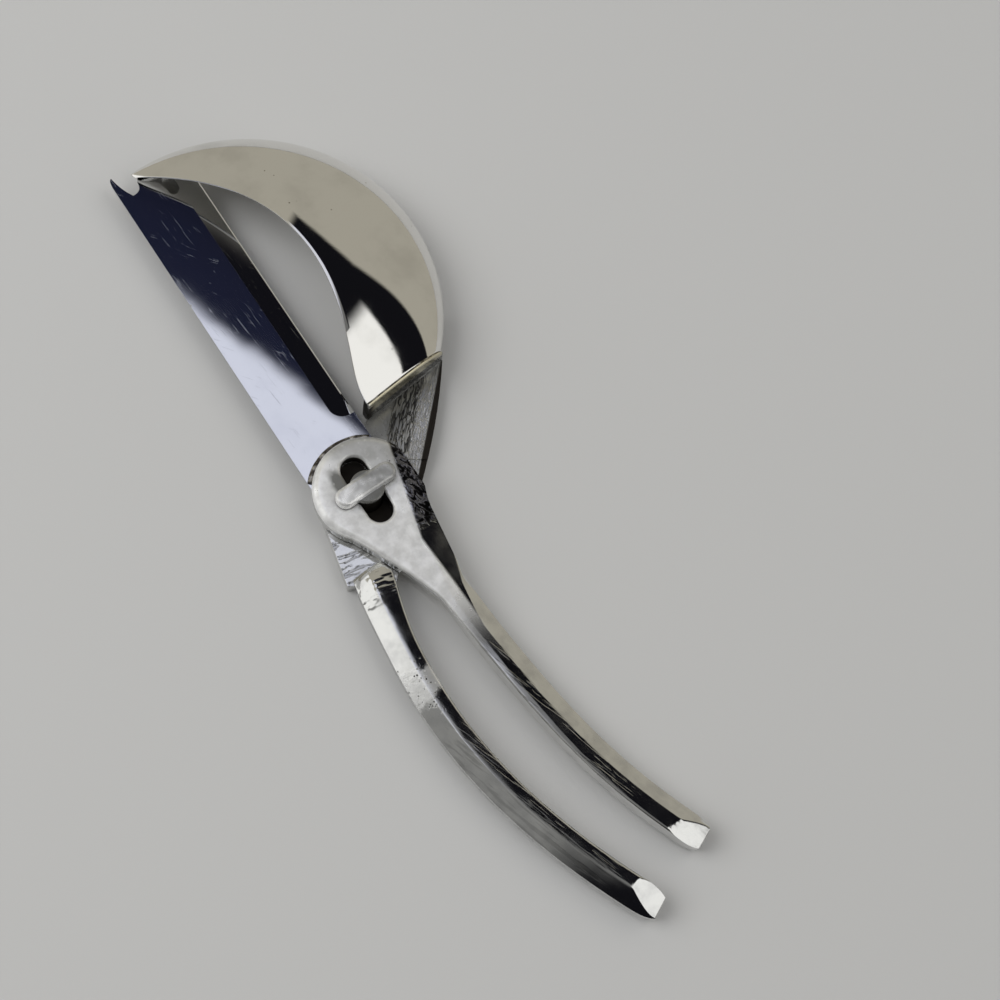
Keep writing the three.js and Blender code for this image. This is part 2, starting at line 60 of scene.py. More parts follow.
class Strand:
    """One output of a node. Arithmetic on strands adds Math nodes to their tree."""

    def __init__(self, tree, out):
        self.tree = tree
        self.out = out

    @staticmethod
    def node(tree, kind, settings=None, out=0, sockets=None):
        """Adds a node: settings are set first, then sockets get their values or links."""
        made = tree.nodes.new(kind)
        for name, value in (settings or {}).items():
            setattr(made, name, value)
        for name, value in (sockets or {}).items():
            if isinstance(value, Strand):
                tree.links.new(value.out, made.inputs[name])
            else:
                made.inputs[name].default_value = value
        return Strand(tree, made.outputs[out])

    def math(self, operation, *others):
        values = dict(enumerate((self, *others)))
        return Strand.node(self.tree, "ShaderNodeMath", {"operation": operation}, 0, values)

    def __add__(self, other):
        return self.math("ADD", other)

    def __sub__(self, other):
        return self.math("SUBTRACT", other)

    def __rsub__(self, other):
        return Strand.node(self.tree, "ShaderNodeMath", {"operation": "SUBTRACT"}, 0, {0: other, 1: self})

    def __mul__(self, other):
        return self.math("MULTIPLY", other)

    def __truediv__(self, other):
        return self.math("DIVIDE", other)

    def __rtruediv__(self, other):
        return Strand.node(self.tree, "ShaderNodeMath", {"operation": "DIVIDE"}, 0, {0: other, 1: self})

    def __pow__(self, other):
        return self.math("POWER", other)

    __radd__ = __add__
    __rmul__ = __mul__

    def rise(self, low, high):
        """0 below low and 1 above high, eased between them."""
        return Strand.node(self.tree, "ShaderNodeMapRange", {"interpolation_type": "SMOOTHSTEP"}, 0,
                           {"Value": self, "From Min": low, "From Max": high})

    def tint(self, first, second):
        """A colour that goes from the first to the second as this goes from 0 to 1."""
        shades = [value if isinstance(value, Strand) else (*value, 1) for value in (first, second)]
        return Strand.node(self.tree, "ShaderNodeMix", {"data_type": "RGBA"}, 2,
                           {0: self, 6: shades[0], 7: shades[1]})

    def parts(self):
        split = Strand.node(self.tree, "ShaderNodeSeparateXYZ", None, 0, {0: self})
        return [Strand(self.tree, out) for out in split.out.node.outputs]

    def to(self, socket):
        self.tree.links.new(self.out, socket)


CEILING = (0.74, 0.76, 0.86)
DIM_CEILING = (0.16, 0.16, 0.16)
WINDOW = (1.0, 1.0, 0.99)
SCREEN = (0.012, 0.014, 0.031)
SCREEN_FAR = (0.006, 0.006, 0.008)
WALL = (0.40, 0.38, 0.325)
SIDE_WALL = (0.26, 0.26, 0.255)

# Edges in the room are tangents from straight up: far is out towards the cup, side towards the blade's tip
ROOM_AHEAD = (0.945, 0.326)
HORIZON = 0.03
CEILING_EDGE = (0.0, 0.16)
SIDE_WALL_EDGE = (-0.3, 0.05)
WINDOW_EDGE = (-0.1, 0.2)
WINDOW_LEAN = 0.6
WINDOW_END = (-0.35, -0.1)
SCREEN_EDGE = (0.307, 0.319)
SCREEN_LEAN = 0.4
SCREEN_CORNER = 0.18
NAVY_SIDE = (0.1, 0.25)
NAVY_END = (0.33, 0.42)
WALL_EDGE = (0.55, 0.60)
WALL_LEAN = 0.10
WALL_LEAN_BACK = 0.42
WALL_SIDE = (0.5, 0.6)
WALL_END = (-0.7, -0.4)
DOOR_SIDE = (-0.24, -0.14)
DOOR_NEAR = (-0.3, -0.1)
DOOR_FAR = (0.405, 0.43)
DOOR_LEAN = 0.45

room = bpy.data.worlds.new("room")
scene.world = room
room.use_nodes = True
sky = room.node_tree
sky.nodes.clear()
east, north, up = Strand.node(sky, "ShaderNodeTexCoord").parts()
up = up.math("MAXIMUM", HORIZON)
far = (ROOM_AHEAD[0] * east + ROOM_AHEAD[1] * north) / up
side = (ROOM_AHEAD[0] * north - ROOM_AHEAD[1] * east) / up
left, right = side.math("MAXIMUM", 0.0), side.math("MINIMUM", 0.0)
shade = side.rise(*CEILING_EDGE).tint(DIM_CEILING, CEILING)
side_wall = side.rise(*SIDE_WALL_EDGE).tint(SCREEN_FAR, SIDE_WALL)
window = (side + WINDOW_LEAN * far).rise(*WINDOW_EDGE).tint(side_wall, WINDOW)
shade = (1 - far.rise(*WINDOW_END)).tint(shade, window)
screen = far + SCREEN_LEAN * (SCREEN_CORNER - side).math("MAXIMUM", 0.0)
navy = side.rise(*NAVY_SIDE) * (1 - far.rise(*NAVY_END))
shade = screen.rise(*SCREEN_EDGE).tint(shade, navy.tint(SCREEN_FAR, SCREEN))
wall = (far + WALL_LEAN * left + WALL_LEAN_BACK * right).rise(*WALL_EDGE)
shade = wall.math("MAXIMUM", side.rise(*WALL_SIDE) * far.rise(*WALL_END)).tint(shade, WALL)
door = far + DOOR_LEAN * (side + 1.0).math("MINIMUM", 0.0)
behind = (1 - side.rise(*DOOR_SIDE)) * far.rise(*DOOR_NEAR) * (1 - door.rise(*DOOR_FAR))
shade = behind.tint(shade, WINDOW)
glow = Strand.node(sky, "ShaderNodeBackground", None, 0, {"Color": shade, "Strength": 1.0})
glow.to(sky.nodes.new("ShaderNodeOutputWorld").inputs[0])

FLOOR_SHADE = (0.58, 0.58, 0.575)
FLOOR_REACH = 2.0
floor_mesh = bpy.data.meshes.new("floor")
floor_corners = [(FLOOR_REACH * x, FLOOR_REACH * y, 0) for x, y in ((-1, -1), (1, -1), (1, 1), (-1, 1))]
floor_mesh.from_pydata(floor_corners, [], [(0, 1, 2, 3)])
floor_paint = bpy.data.materials.new("floor_paint")
floor_paint.use_nodes = True
floor_shader = floor_paint.node_tree.nodes["Principled BSDF"]
floor_shader.inputs["Base Color"].default_value = (*FLOOR_SHADE, 1)
floor_shader.inputs["Roughness"].default_value = 0.9
floor_shader.inputs["Specular IOR Level"].default_value = 0.1
floor_mesh.materials.append(floor_paint)
floor = bpy.data.objects.new("floor", floor_mesh)
scene.collection.objects.link(floor)

for name, place, width, power in (
        ("softbox", (-0.5, 0.45, 0.8), 0.7, 4.7), ("fill", (0.6, -0.2, 0.9), 0.9, 2.3)):
    lamp = bpy.data.lights.new(name, "AREA")
    lamp.size = width
    lamp.energy = power
    box = bpy.data.objects.new(name, lamp)
    box.location = place
    box.rotation_euler = (-Vector(place)).to_track_quat("-Z", "Y").to_euler()
    box.visible_glossy = False
    scene.collection.objects.link(box)

# Cup lever: one casting with a lap plate that the other lever turns on, an arm out to the cup with a raised
# bar across its end, and a curved handle with a crowned top and a facet down its outer side. It is polished
# and plated on the handle, and left rough from the mould on the arm.
LAP_THICKNESS = 4.0
LAP_RADIUS = 11.5
LAP_EDGE = 0.7
LAP_CORNER = (-15.4, -16.27)
LAP_HANDLE_RUN = 10.5
ARM_BOW = 1.2
ARM_PROUD = 1.0
ARM_TUCK = 5.0
ARM_STEP = ((11.5, 3.72), (11.5, -9.0), (22.0, -9.0), (22.0, -2.98))
ARM_STEP_LEVEL = 3.5
HANDLE_WIDTH = 7.2
HANDLE_HEIGHT = 8.2
HANDLE_FACET = 3.9
HANDLE_FACET_DROP = 2.6
HANDLE_ROUND = 0.5
HANDLE_FOOT = 2.8
HANDLE_BASE = 0.02
HANDLE_CROWN = 0.07
FACET_CROWN = 0.1
LEAST_SIDE = 0.05
HANDLE_END = 8.0
HANDLE_END_WIDTH = 5.0
HANDLE_END_DROOP = 2.5
CUP_HANDLE_POINTS = ((-7.5, -11.5), (-20, -50), (-13, -82), (3.2, -115))
CUP_HANDLE_START = 4.2
CUP_HANDLE_SQUARE = 14.0
CUP_HANDLE_ROOT_WIDTH = 9.8
CUP_HANDLE_ROOT_LENGTH = 26.0
CUP_HANDLE_ROOT_ROUND = 7.0
CUP_HANDLE_ROOT_RISE = 2.4
CUP_HANDLE_FALL = 0.08
BLADE_HANDLE_POINTS = ((0, 0), (8, -45), (3, -70), (20.4, -108.2))
EYE_RADIUS = 12.8
EYE_SHIFT = 0.4
NECK_LENGTH = 31.0
NECK_FLARE = 1.15
NECK_INSET = 0.4
NECK_REACH = 60.0
CLOSED_ANGLE = -2.5
GAP = 0.3
CUT_PAST = 5.0
SHOULDER_SKEW = math.radians(9)
CUP_RADIUS = 46.8
CUP_MIDDLE = np.array((0.0, 52.31))
CUP_TIP_ANGLE = 96.0
CUP_ROOT_ANGLE = -44.87
CUP_EDGE = 6.25
RIM_TIP = np.array((-4.70, 97.05))
RIM_ROOT = np.array((9.8, 15.59))
RIM_BOW = 15.6
RIM_RUN_OUT = 5.0
RIM_EASE = 0.06
RIM_ARCH = 10.3
RIM_ARCH_FULLNESS = 0.8
RIM_TIP_HEIGHT = 1.1
RIM_ROOT_HEIGHT = 5.8
BAR_WIDTH = 0.9
BAR_PROUD = 0.6
# Shares of the bar's width, and how far it stands out of the dome there
BAR_PROFILE = ((0, 0.2), (0.15, 0.5), (0.35, BAR_PROUD), (0.65, BAR_PROUD), (0.88, 0.45), (1, 0.1))
BAR_BASE = 0.03
SEAT_BASE = 0.05
SEAT_LENGTH = 13.0
SEAT_SETBACK = 0.7
SEAT_HOLLOW = 5.5
SEAT_HOLLOW_RUN = (3.0, 9.0)
SHELL_WALL = 0.7
STUD_RADIUS = 3.8
STUD_TAIL_RADIUS = 5.0
STUD_TAIL_DEPTH = 1.7


def eased(value, low, high):
    share = np.clip((value - low) / (high - low), 0, 1)
    return share * share * (3 - 2 * share)


def made(name, corners, faces, edges=()):
    """A piece with flat faces or loose edges between corners in millimetres."""
    mesh = bpy.data.meshes.new(name)
    mesh.from_pydata((np.asarray(corners, float) * MM).tolist(), list(edges), faces)
    mesh.validate()
    piece = bpy.data.objects.new(name, mesh)
    scene.collection.objects.link(piece)
    return piece


def skinned(name, rings):
    """A closed skin over a row of rings with equal numbers of corners, each end closed by a face."""
    rows, count = len(rings), len(rings[0])
    ring = np.arange(count)
    after = np.roll(ring, -1)
    faces = []
    for row in range(rows - 1):
        a, b = row * count, (row + 1) * count
        faces += np.stack([a + ring, a + after, b + after, b + ring], 1).tolist()
    faces += [ring[::-1].tolist(), ((rows - 1) * count + ring).tolist()]
    return made(name, np.concatenate(rings), faces)


def levelled(outline, level):
    """A flat outline laid at a level."""
    return np.column_stack([outline, np.full(len(outline), level)])


def raised(name, outline, bottom, top):
    """A flat outline, anticlockwise from above, raised from one level to another."""
    return skinned(name, [levelled(outline, level) for level in (bottom, top)])


def arc(radius, start, end, steps, middle=(0, 0)):
    """Points on an arc between two angles."""
    turn = np.linspace(start, end, steps)
    return middle + radius * np.column_stack([np.cos(turn), np.sin(turn)])


def swept(start, pull, end, steps=14):
    """Points after the start of a curve that leaves towards pull and comes in to its end."""
    t = np.linspace(0, 1, steps)[1:, None]
    return np.array(start) * (1 - t) ** 2 + 2 * np.array(pull) * t * (1 - t) + np.array(end) * t ** 2


def turned(points, angle):
    """Points turned anticlockwise about the pivot."""
    return points @ np.array(((math.cos(angle), math.sin(angle)), (-math.sin(angle), math.cos(angle))))


def lathed(name, profile, steps=128):
    """A profile of radius and height, from bottom to top, turned about the pivot's axis."""
    core = 0.01
    profile = ((core, profile[0][1]), *profile, (core, profile[-1][1]))
    circle = arc(1.0, 0, 2 * np.pi, steps + 1)[:-1]
    return skinned(name, [levelled(radius * circle, level) for radius, level in profile])


def settled(piece):
    """Turns a piece with modifiers into a plain mesh."""
    bpy.context.view_layer.update()
    shape = piece.evaluated_get(bpy.context.evaluated_depsgraph_get())
    mesh = bpy.data.meshes.new_from_object(shape)
    piece.modifiers.clear()
    piece.data = mesh
    return piece


def joined(piece, other, operation):
    """Joins another solid to a piece, or cuts it away, and removes the other."""
    change = piece.modifiers.new("join", "BOOLEAN")
    change.operation = operation
    change.solver = "EXACT"
    change.object = other
    settled(piece)
    bpy.data.objects.remove(other)
    return piece


def softened(piece, width, crease=35):
    """Rounds the sharp edges of a piece and shades it smooth."""
    if width:
        edge = piece.modifiers.new("edge", "BEVEL")
        edge.width = width * MM
        edge.segments = 2
        edge.limit_method = "ANGLE"
        edge.angle_limit = math.radians(crease)
        edge.use_clamp_overlap = True
        settled(piece)
    piece.data.shade_smooth()
    piece.data.set_sharp_from_angle(angle=math.radians(crease))
    weigh = piece.modifiers.new("weigh", "WEIGHTED_NORMAL")
    weigh.keep_sharp = True
    return settled(piece)


def bezier(points, distances):
    """Places and directions on a curve at given distances along it."""
    a, b, c, d = (np.array(point, float) for point in points)
    t = np.linspace(0, 1, 2001)[:, None]
    path = a * (1 - t) ** 3 + 3 * b * t * (1 - t) ** 2 + 3 * c * t ** 2 * (1 - t) + d * t ** 3
    run = np.concatenate([[0], np.cumsum(np.linalg.norm(np.diff(path, axis=0), axis=1))])
    place = np.column_stack([np.interp(distances, run, path[:, k]) for k in (0, 1)])
    ahead = np.gradient(path, run, axis=0)
    along = np.column_stack([np.interp(distances, run, ahead[:, k]) for k in (0, 1)])
    return place, along / np.linalg.norm(along, axis=1)[:, None], run[-1]


TOP_STEPS = 44
FOOT_STEPS = 7
ROOT_RINGS = 14
HANDLE_RINGS = 110
END_RINGS = 22
SEAT_RINGS = 40


def lever_ring(inner, outer, top_at, bottom, foot):
    """Ring of a lever from inner to outer edge; top_at gives the height of its upper surface across it."""
    across = (inner + outer) / 2 + (outer - inner) / 2 * np.sin(np.linspace(-np.pi / 2, np.pi / 2, TOP_STEPS))
    top = np.maximum(top_at(across), bottom + foot + LEAST_SIDE)
    foot = min(foot, (outer - inner) / 2)
    outer_foot = arc(foot, 0, -np.pi / 2, FOOT_STEPS, (outer - foot, bottom + foot))
    inner_foot = arc(foot, 1.5 * np.pi, np.pi, FOOT_STEPS, (inner + foot, bottom + foot))
    return np.concatenate([np.column_stack([across, top]), outer_foot, inner_foot])


def handle_top(across, inner, outer, top, crown, fall, facet, drop, rounding):
    """Upper surface of a handle: crowned, rounded at its inner edge, with a facet down its outer side."""
    share = (across - inner) / (outer - facet - inner)
    surface = top - fall * (1 - share) - crown * (2 * share - 1) ** 2
    inset = np.clip(across - inner, 0, rounding)
    surface -= rounding - np.sqrt(rounding ** 2 - (rounding - inset) ** 2)
    outset = (outer - across) / facet
    swell = FACET_CROWN * np.sin(np.clip(outset, 0, 1) * np.pi)
    return np.minimum(surface, top - drop + drop * outset + swell)


def end_shape(distance, length):
    """How much narrower and lower a section is in the ground slope at a handle's end."""
    into = np.clip((distance - length + HANDLE_END) / HANDLE_END, 0, 1)
    return into ** 4 * (HANDLE_WIDTH - HANDLE_END_WIDTH) / 2, HANDLE_END_DROOP * into


def neck_half(distance):
    """Half the width of the blade lever's neck, and how much of its flare is left."""
    flare = np.clip(1 - distance / NECK_LENGTH, 0, 1) ** NECK_FLARE
    return HANDLE_WIDTH / 2 + (EYE_RADIUS - NECK_INSET - HANDLE_WIDTH / 2) * flare, flare


# Room that the other lever's neck takes up where the tool is closed
neck_run = np.linspace(0, NECK_REACH, 121)
neck_line, neck_along, _ = bezier(BLADE_HANDLE_POINTS, neck_run)
neck_out = np.column_stack([neck_along[:, 1], -neck_along[:, 0]])
neck_room = neck_line + neck_out * (neck_half(neck_run)[0] + GAP)[:, None]
neck_room = turned(neck_room, math.radians(CLOSED_ANGLE))
neck_room = neck_room[np.argsort(neck_room[:, 1])]

_, _, cup_handle_length = bezier(CUP_HANDLE_POINTS, [0])
root_end, end_start = CUP_HANDLE_START + CUP_HANDLE_ROOT_ROUND, cup_handle_length - HANDLE_END
handle_runs = np.concatenate([
    CUP_HANDLE_START + CUP_HANDLE_ROOT_ROUND * np.linspace(0, 1, ROOT_RINGS) ** 2,
    np.linspace(root_end, end_start, HANDLE_RINGS)[1:],
    np.linspace(end_start, cup_handle_length, END_RINGS)[1:]])
places, alongs, _ = bezier(CUP_HANDLE_POINTS, handle_runs)
rings = []
for run, place, along in zip(handle_runs, places, alongs):
    narrowing, droop = end_shape(run, cup_handle_length)
    root = 1 - eased(run, 0, CUP_HANDLE_ROOT_LENGTH)
    half = (HANDLE_WIDTH + (CUP_HANDLE_ROOT_WIDTH - HANDLE_WIDTH) * root) / 2 - narrowing
    square = eased(run - CUP_HANDLE_START, 0, CUP_HANDLE_SQUARE)
    outward = np.array((along[1], -along[0])) * square + np.array((-1.0, 0.0)) * (1 - square)
    outward /= np.linalg.norm(outward)
    inner = -half
    # The inner side is drawn back, in three tries, until it clears the neck
    for _ in range(3):
        edge = place + outward * inner
        over = edge[0] - np.interp(edge[1], neck_room[:, 1], neck_room[:, 0], left=np.inf)
        inner += max(0, over) / -outward[0]
    into_root = np.clip(1 - (run - CUP_HANDLE_START) / CUP_HANDLE_ROOT_ROUND, 0, 1)
    top = HANDLE_HEIGHT - CUP_HANDLE_ROOT_RISE * (1 - math.sqrt(1 - into_root ** 2))
    fall = CUP_HANDLE_FALL * (half - inner - HANDLE_FACET)
    facet = HANDLE_FACET * (1 - 2 * narrowing / HANDLE_WIDTH)

    def cup_handle_top(across):
        surface = handle_top(
            across, inner, half, top, HANDLE_CROWN, fall, facet, HANDLE_FACET_DROP, HANDLE_ROUND)
        return np.minimum(surface, HANDLE_HEIGHT - droop)

    ring = lever_ring(inner, half, cup_handle_top, HANDLE_BASE, HANDLE_FOOT * (1 - droop / HANDLE_HEIGHT))
    rings.append(np.column_stack([place + outward * ring[:, :1], ring[:, 1]]))
cup_lever = skinned("cup_lever_casting", rings)

# Shoulder line that the cup's root stands on, and the rule of the dome
shoulder_along = np.array((math.cos(SHOULDER_SKEW), math.sin(SHOULDER_SKEW)))
rim_chord = RIM_ROOT - RIM_TIP
rim_side = np.array((-rim_chord[1], rim_chord[0])) / np.linalg.norm(rim_chord)
rim_bow_end = 1 - RIM_RUN_OUT / np.linalg.norm(rim_chord)
cup_arc = CUP_RADIUS * math.radians(CUP_TIP_ANGLE - CUP_ROOT_ANGLE)


def dome_profile(at, inset=0.0, drop=None, setback=0.0, steps=40):
    """Profile of the cup at a share of the way from its tip to its root, from outer edge up to rim."""
    angle = math.radians(CUP_TIP_ANGLE + (CUP_ROOT_ANGLE - CUP_TIP_ANGLE) * at)
    outer = CUP_MIDDLE + CUP_RADIUS * np.array((math.cos(angle), math.sin(angle)))
    left = 1 - at / rim_bow_end
    rim = RIM_TIP + rim_chord * at + rim_side * 2 * RIM_BOW * (1 - left) * (left + math.hypot(left, RIM_EASE))
    outward = (outer - rim) / np.linalg.norm(outer - rim)
    width = np.linalg.norm(outer - rim) - inset
    arch = math.sin(math.pi * min(max(at, 0), 1)) ** RIM_ARCH_FULLNESS
    height = RIM_TIP_HEIGHT + (RIM_ROOT_HEIGHT - RIM_TIP_HEIGHT) * at + RIM_ARCH * arch
    height -= inset if drop is None else drop
    power = 2 / (2 + at ** 4)
    turn = np.linspace(0, math.acos((setback / width) ** (1 / power)), steps)
    across = width * np.clip(np.cos(turn), 0, 1) ** power
    return np.column_stack([rim + outward * across[:, None], CUP_EDGE + height * np.sin(turn) ** power])


def under_dome(profile, base):
    """A ring from a profile of the cup down to a base."""
    foot = profile[[-1, 0]].copy()
    foot[:, 2] = base
    return np.concatenate([profile, foot])


root_angle = math.radians(CUP_ROOT_ANGLE)
shoulder_outer = CUP_MIDDLE + CUP_RADIUS * np.array((math.cos(root_angle), math.sin(root_angle)))
arm_outer = shoulder_outer + shoulder_along * ARM_PROUD
arm_inner = RIM_ROOT + shoulder_along * SEAT_SETBACK / shoulder_along[0]


def touch(place, turn):
    """Angle at which a line from a place touches the lap plate's round, on one side of it or the other."""
    return math.atan2(place[1], place[0]) + turn * math.acos(LAP_RADIUS / np.hypot(*place))


handle_inner = bezier(CUP_HANDLE_POINTS, [LAP_HANDLE_RUN])[0][0] + (CUP_HANDLE_ROOT_WIDTH / 2, 0)
arm_touch = touch(arm_outer, -1)
arm_foot = LAP_RADIUS * np.array((math.cos(arm_touch), math.sin(arm_touch)))
arm_line = (arm_outer - arm_foot) / np.linalg.norm(arm_outer - arm_foot)
arm_bulge = (arm_outer + arm_foot) / 2 + np.array((arm_line[1], -arm_line[0])) * 2 * ARM_BOW
lap_plan = np.concatenate([
    [LAP_CORNER, handle_inner], arc(LAP_RADIUS, touch(handle_inner, 1), arm_touch, 60),
    swept(arm_foot, arm_bulge, arm_outer, 24),
    [arm_outer + (-ARM_TUCK, ARM_TUCK), arm_inner + (ARM_TUCK, ARM_TUCK), arm_inner],
    arc(LAP_RADIUS, touch(arm_inner, 1), touch(LAP_CORNER, -1) + 2 * math.pi, 60)])
lap_plate = raised("lap_plate", lap_plan, 0, LAP_THICKNESS)
joined(lap_plate, lathed("stud_hole", (
    (STUD_TAIL_RADIUS + GAP, -CUT_PAST), (STUD_TAIL_RADIUS + GAP, 0),
    (STUD_RADIUS + GAP, STUD_TAIL_DEPTH + GAP), (STUD_RADIUS + GAP, LAP_THICKNESS + CUT_PAST))), "DIFFERENCE")
joined(lap_plate, raised("arm_step", ARM_STEP, ARM_STEP_LEVEL, LAP_THICKNESS + CUT_PAST), "DIFFERENCE")
softened(lap_plate, LAP_EDGE)

bar_start = 1 - BAR_WIDTH / cup_arc
bar = skinned("bar", [under_dome(dome_profile(bar_start + (1 - bar_start) * share, -proud, -proud), BAR_BASE)
                      for share, proud in BAR_PROFILE])
seat_end = (bar_start + 1) / 2
seat_start = bar_start - (GAP + SEAT_LENGTH) / cup_arc
seat_rings = []
for at in np.linspace(seat_start, seat_end, SEAT_RINGS):
    hollow = eased((bar_start - at) * cup_arc, *SEAT_HOLLOW_RUN)
    setback = SEAT_SETBACK + (SEAT_HOLLOW - SEAT_SETBACK) * hollow
    seat_rings.append(under_dome(dome_profile(at, SHELL_WALL + GAP, None, setback), SEAT_BASE))
seat = skinned("seat", seat_rings)
for other in (bar, seat, lap_plate):
    joined(cup_lever, other, "UNION")


def new_finish(name):
    """A metal finish: its material, its shader and its Object coordinates."""
    material = bpy.data.materials.new(name)
    material.use_nodes = True
    shader = material.node_tree.nodes["Principled BSDF"]
    shader.inputs["Metallic"].default_value = 1
    return material, shader, Strand.node(material.node_tree, "ShaderNodeTexCoord", None, "Object")


def spots(place, density):
    """Distance to the nearest of many scattered spots, of which a millimetre holds a given number."""
    return Strand.node(place.tree, "ShaderNodeTexVoronoi", None, "Distance",
                       {"Vector": place, "Scale": density / MM})


def in_mm(place):
    """The three parts of a place, in millimetres."""
    return [part / MM for part in place.parts()]


def grain(place, size, detail=3.0, stretch=(1, 1, 1), turn=0.0, distortion=0.0):
    """Noise with features of a given size in millimetres, stretched along axes turned in plan."""
    laid = Strand.node(place.tree, "ShaderNodeMapping", {"vector_type": "TEXTURE"}, 0,
                       {"Vector": place, "Rotation": (0, 0, math.radians(turn)),
                        "Scale": [size * MM * along for along in stretch]})
    return Strand.node(place.tree, "ShaderNodeTexNoise", None, "Fac",
                       {"Vector": laid, "Scale": 1.0, "Detail": detail, "Distortion": distortion})


def bumped(shader, height, depth, below=None):
    """Bump of a given depth in millimetres on the shader's normal."""
    sockets = {"Height": height, "Distance": depth * MM, "Strength": 1.0}
    if below is not None:
        sockets["Normal"] = below
    bump = Strand.node(height.tree, "ShaderNodeBump", None, 0, sockets)
    bump.to(shader.inputs["Normal"])
    return bump


CAST_BRIGHT = (0.78, 0.78, 0.76)
CAST_DULL = (0.62, 0.62, 0.61)
CAST_BLACK = (0.02, 0.02, 0.022)
SATIN_LIGHT = (0.97, 0.97, 0.96)
SATIN_DARK = (0.70, 0.70, 0.69)
STREAK_AND_SHADE_DARK = (0.22, 0.22, 0.21)
SCALE_GREY = (0.30, 0.30, 0.33)
BOX_REFLECTION_GOLD = (0.66, 0.61, 0.45)
SHADE_BLACK = (0.030, 0.026, 0.022)
ARM_RUN = 46.4
HANDLE_RUN = -72.0
LAP_RUN = -9.0
BRUSH_RUN = 105.0
SCALE_RUN = 110.0
PIT_DENSITY = 1.1


def plated_casting(name, zones):
    """Polished plating on a casting. Each zone is a rule, in millimetres, for where another finish shows, or
    where shade or a reflection is painted.
    """
    material, shader, place = new_finish(name)
    spot = in_mm(place)
    zone = {kind: rule(place, *spot) for kind, rule in zones.items()}
    wear = grain(place, 5.0, 4.0).rise(0.35, 0.75)
    shade = wear.tint(CAST_BRIGHT, CAST_DULL)
    roughness = 0.07 + 0.08 * wear
    normal = bumped(shader, grain(place, 9.0, 1.0), 0.06)
    normal = bumped(shader, grain(place, 0.5, 2.0, (14, 1, 1), BRUSH_RUN), 0.003, normal)
    if "satin" in zone:
        cloud = grain(place, 2.6, 5.0).rise(0.3, 0.75)
        shade = zone["satin"].tint(shade, cloud.tint(SATIN_LIGHT, SATIN_DARK))
        roughness = roughness + zone["satin"] * (0.2 + 0.1 * cloud)
        (1 - 0.55 * zone["satin"]).to(shader.inputs["Metallic"])
        normal = bumped(shader, zone["satin"] * grain(place, 0.7, 3.0), 0.03, normal)
    # Darker patches from each lever's rule, partly painted shade and painted reflection
    if "darkening_and_painted_shade" in zone:
        shade = zone["darkening_and_painted_shade"].tint(shade, STREAK_AND_SHADE_DARK)
    for kind, length, run in (("streaks", 16, HANDLE_RUN), ("marks", 5, LAP_RUN)):
        if kind in zone:
            streaks = zone[kind] * grain(place, 0.9, 3.0, (length, 1, 1), run).rise(0.5, 0.6)
            shade = streaks.tint(shade, STREAK_AND_SHADE_DARK)
            normal = bumped(shader, streaks, -0.05, normal)
    if "ripples" in zone:
        normal = bumped(shader, zone["ripples"] * grain(place, 1.5, 1.0, (4, 1, 1), LAP_RUN), 0.35, normal)
    if "skin" in zone:
        worms = grain(place, 0.7, 2.0, (5, 1, 1), ARM_RUN, 0.5)
        furrow = zone["skin"] * (1 - (worms - 0.5).math("ABSOLUTE").rise(0.0, 0.10))
        shade = furrow.tint(shade, CAST_BLACK)
        roughness = roughness + 0.14 * zone["skin"]
        normal = bumped(shader, furrow, -0.15, normal)
    if "scale" in zone:
        flakes = grain(place, 1.2, 3.0, (1.8, 1, 1), SCALE_RUN, 1.0).rise(0.46, 0.6)
        shade = zone["scale"].tint(shade, flakes.tint(CAST_BLACK, SCALE_GREY))
        roughness = roughness + 0.1 * zone["scale"]
        normal = bumped(shader, zone["scale"] * flakes, 0.05, normal)
    if "pits" in zone:
        pit = 1 - spots(place, PIT_DENSITY).rise(0.16, 0.30)
        pits = zone["pits"] * pit * grain(place, 2.2).rise(0.46, 0.58)
        shade = pits.tint(shade, CAST_BLACK)
        roughness = roughness + 0.4 * pits
        normal = bumped(shader, pits, -0.08, normal)
    # Painted reflection of a yellow box: gold on the bar's face
    if "gold" in zone:
        shade = zone["gold"].tint(shade, BOX_REFLECTION_GOLD)
        roughness = roughness + 0.12 * zone["gold"]
    # Painted shade: near black, and rougher, in corners and under other parts
    shade = zone["painted_shade"].tint(shade, SHADE_BLACK)
    roughness = roughness + 0.35 * zone["painted_shade"]
    shade.to(shader.inputs["Base Color"])
    roughness.to(shader.inputs["Roughness"])
    return material


BAR_FACE = 13.8
BAR_BACK = 14.9
BAR_ROUGH = (4.4, 8.2)
BAR_GOLD = (8.2, 20.0)
ARM_FROM = (6.0, 9.0)
ARM_CREST = (1.2, 2.8)


def floor_level(z):
    """Where the top of the lap plate and of the arm is."""
    low = z.rise(ARM_STEP_LEVEL - 0.3, ARM_STEP_LEVEL)
    return low * (1 - z.rise(LAP_THICKNESS + 0.1, LAP_THICKNESS + 0.4))


def on_arm(x, y):
    return (x + y).rise(*ARM_FROM)


def arm_right(x, y):
    """How far right of the pivot a place is, looking out along the arm."""
    return x * math.sin(math.radians(ARM_RUN)) - y * math.cos(math.radians(ARM_RUN))


def past_shoulder(x, y):
    """How far beyond the pivot a place is, square to the shoulder that the cup stands on."""
    return y * math.cos(SHOULDER_SKEW) - x * math.sin(SHOULDER_SKEW)


def bar_face(x, y, z, low, high):
    """Where the face of the bar is, between two levels."""
    past = past_shoulder(x, y)
    face = past.rise(BAR_FACE - 0.1, BAR_FACE) * (1 - past.rise(BAR_BACK, BAR_BACK + 0.1))
    return face * z.rise(low - 0.4, low) * (1 - z.rise(high - 0.6, high))


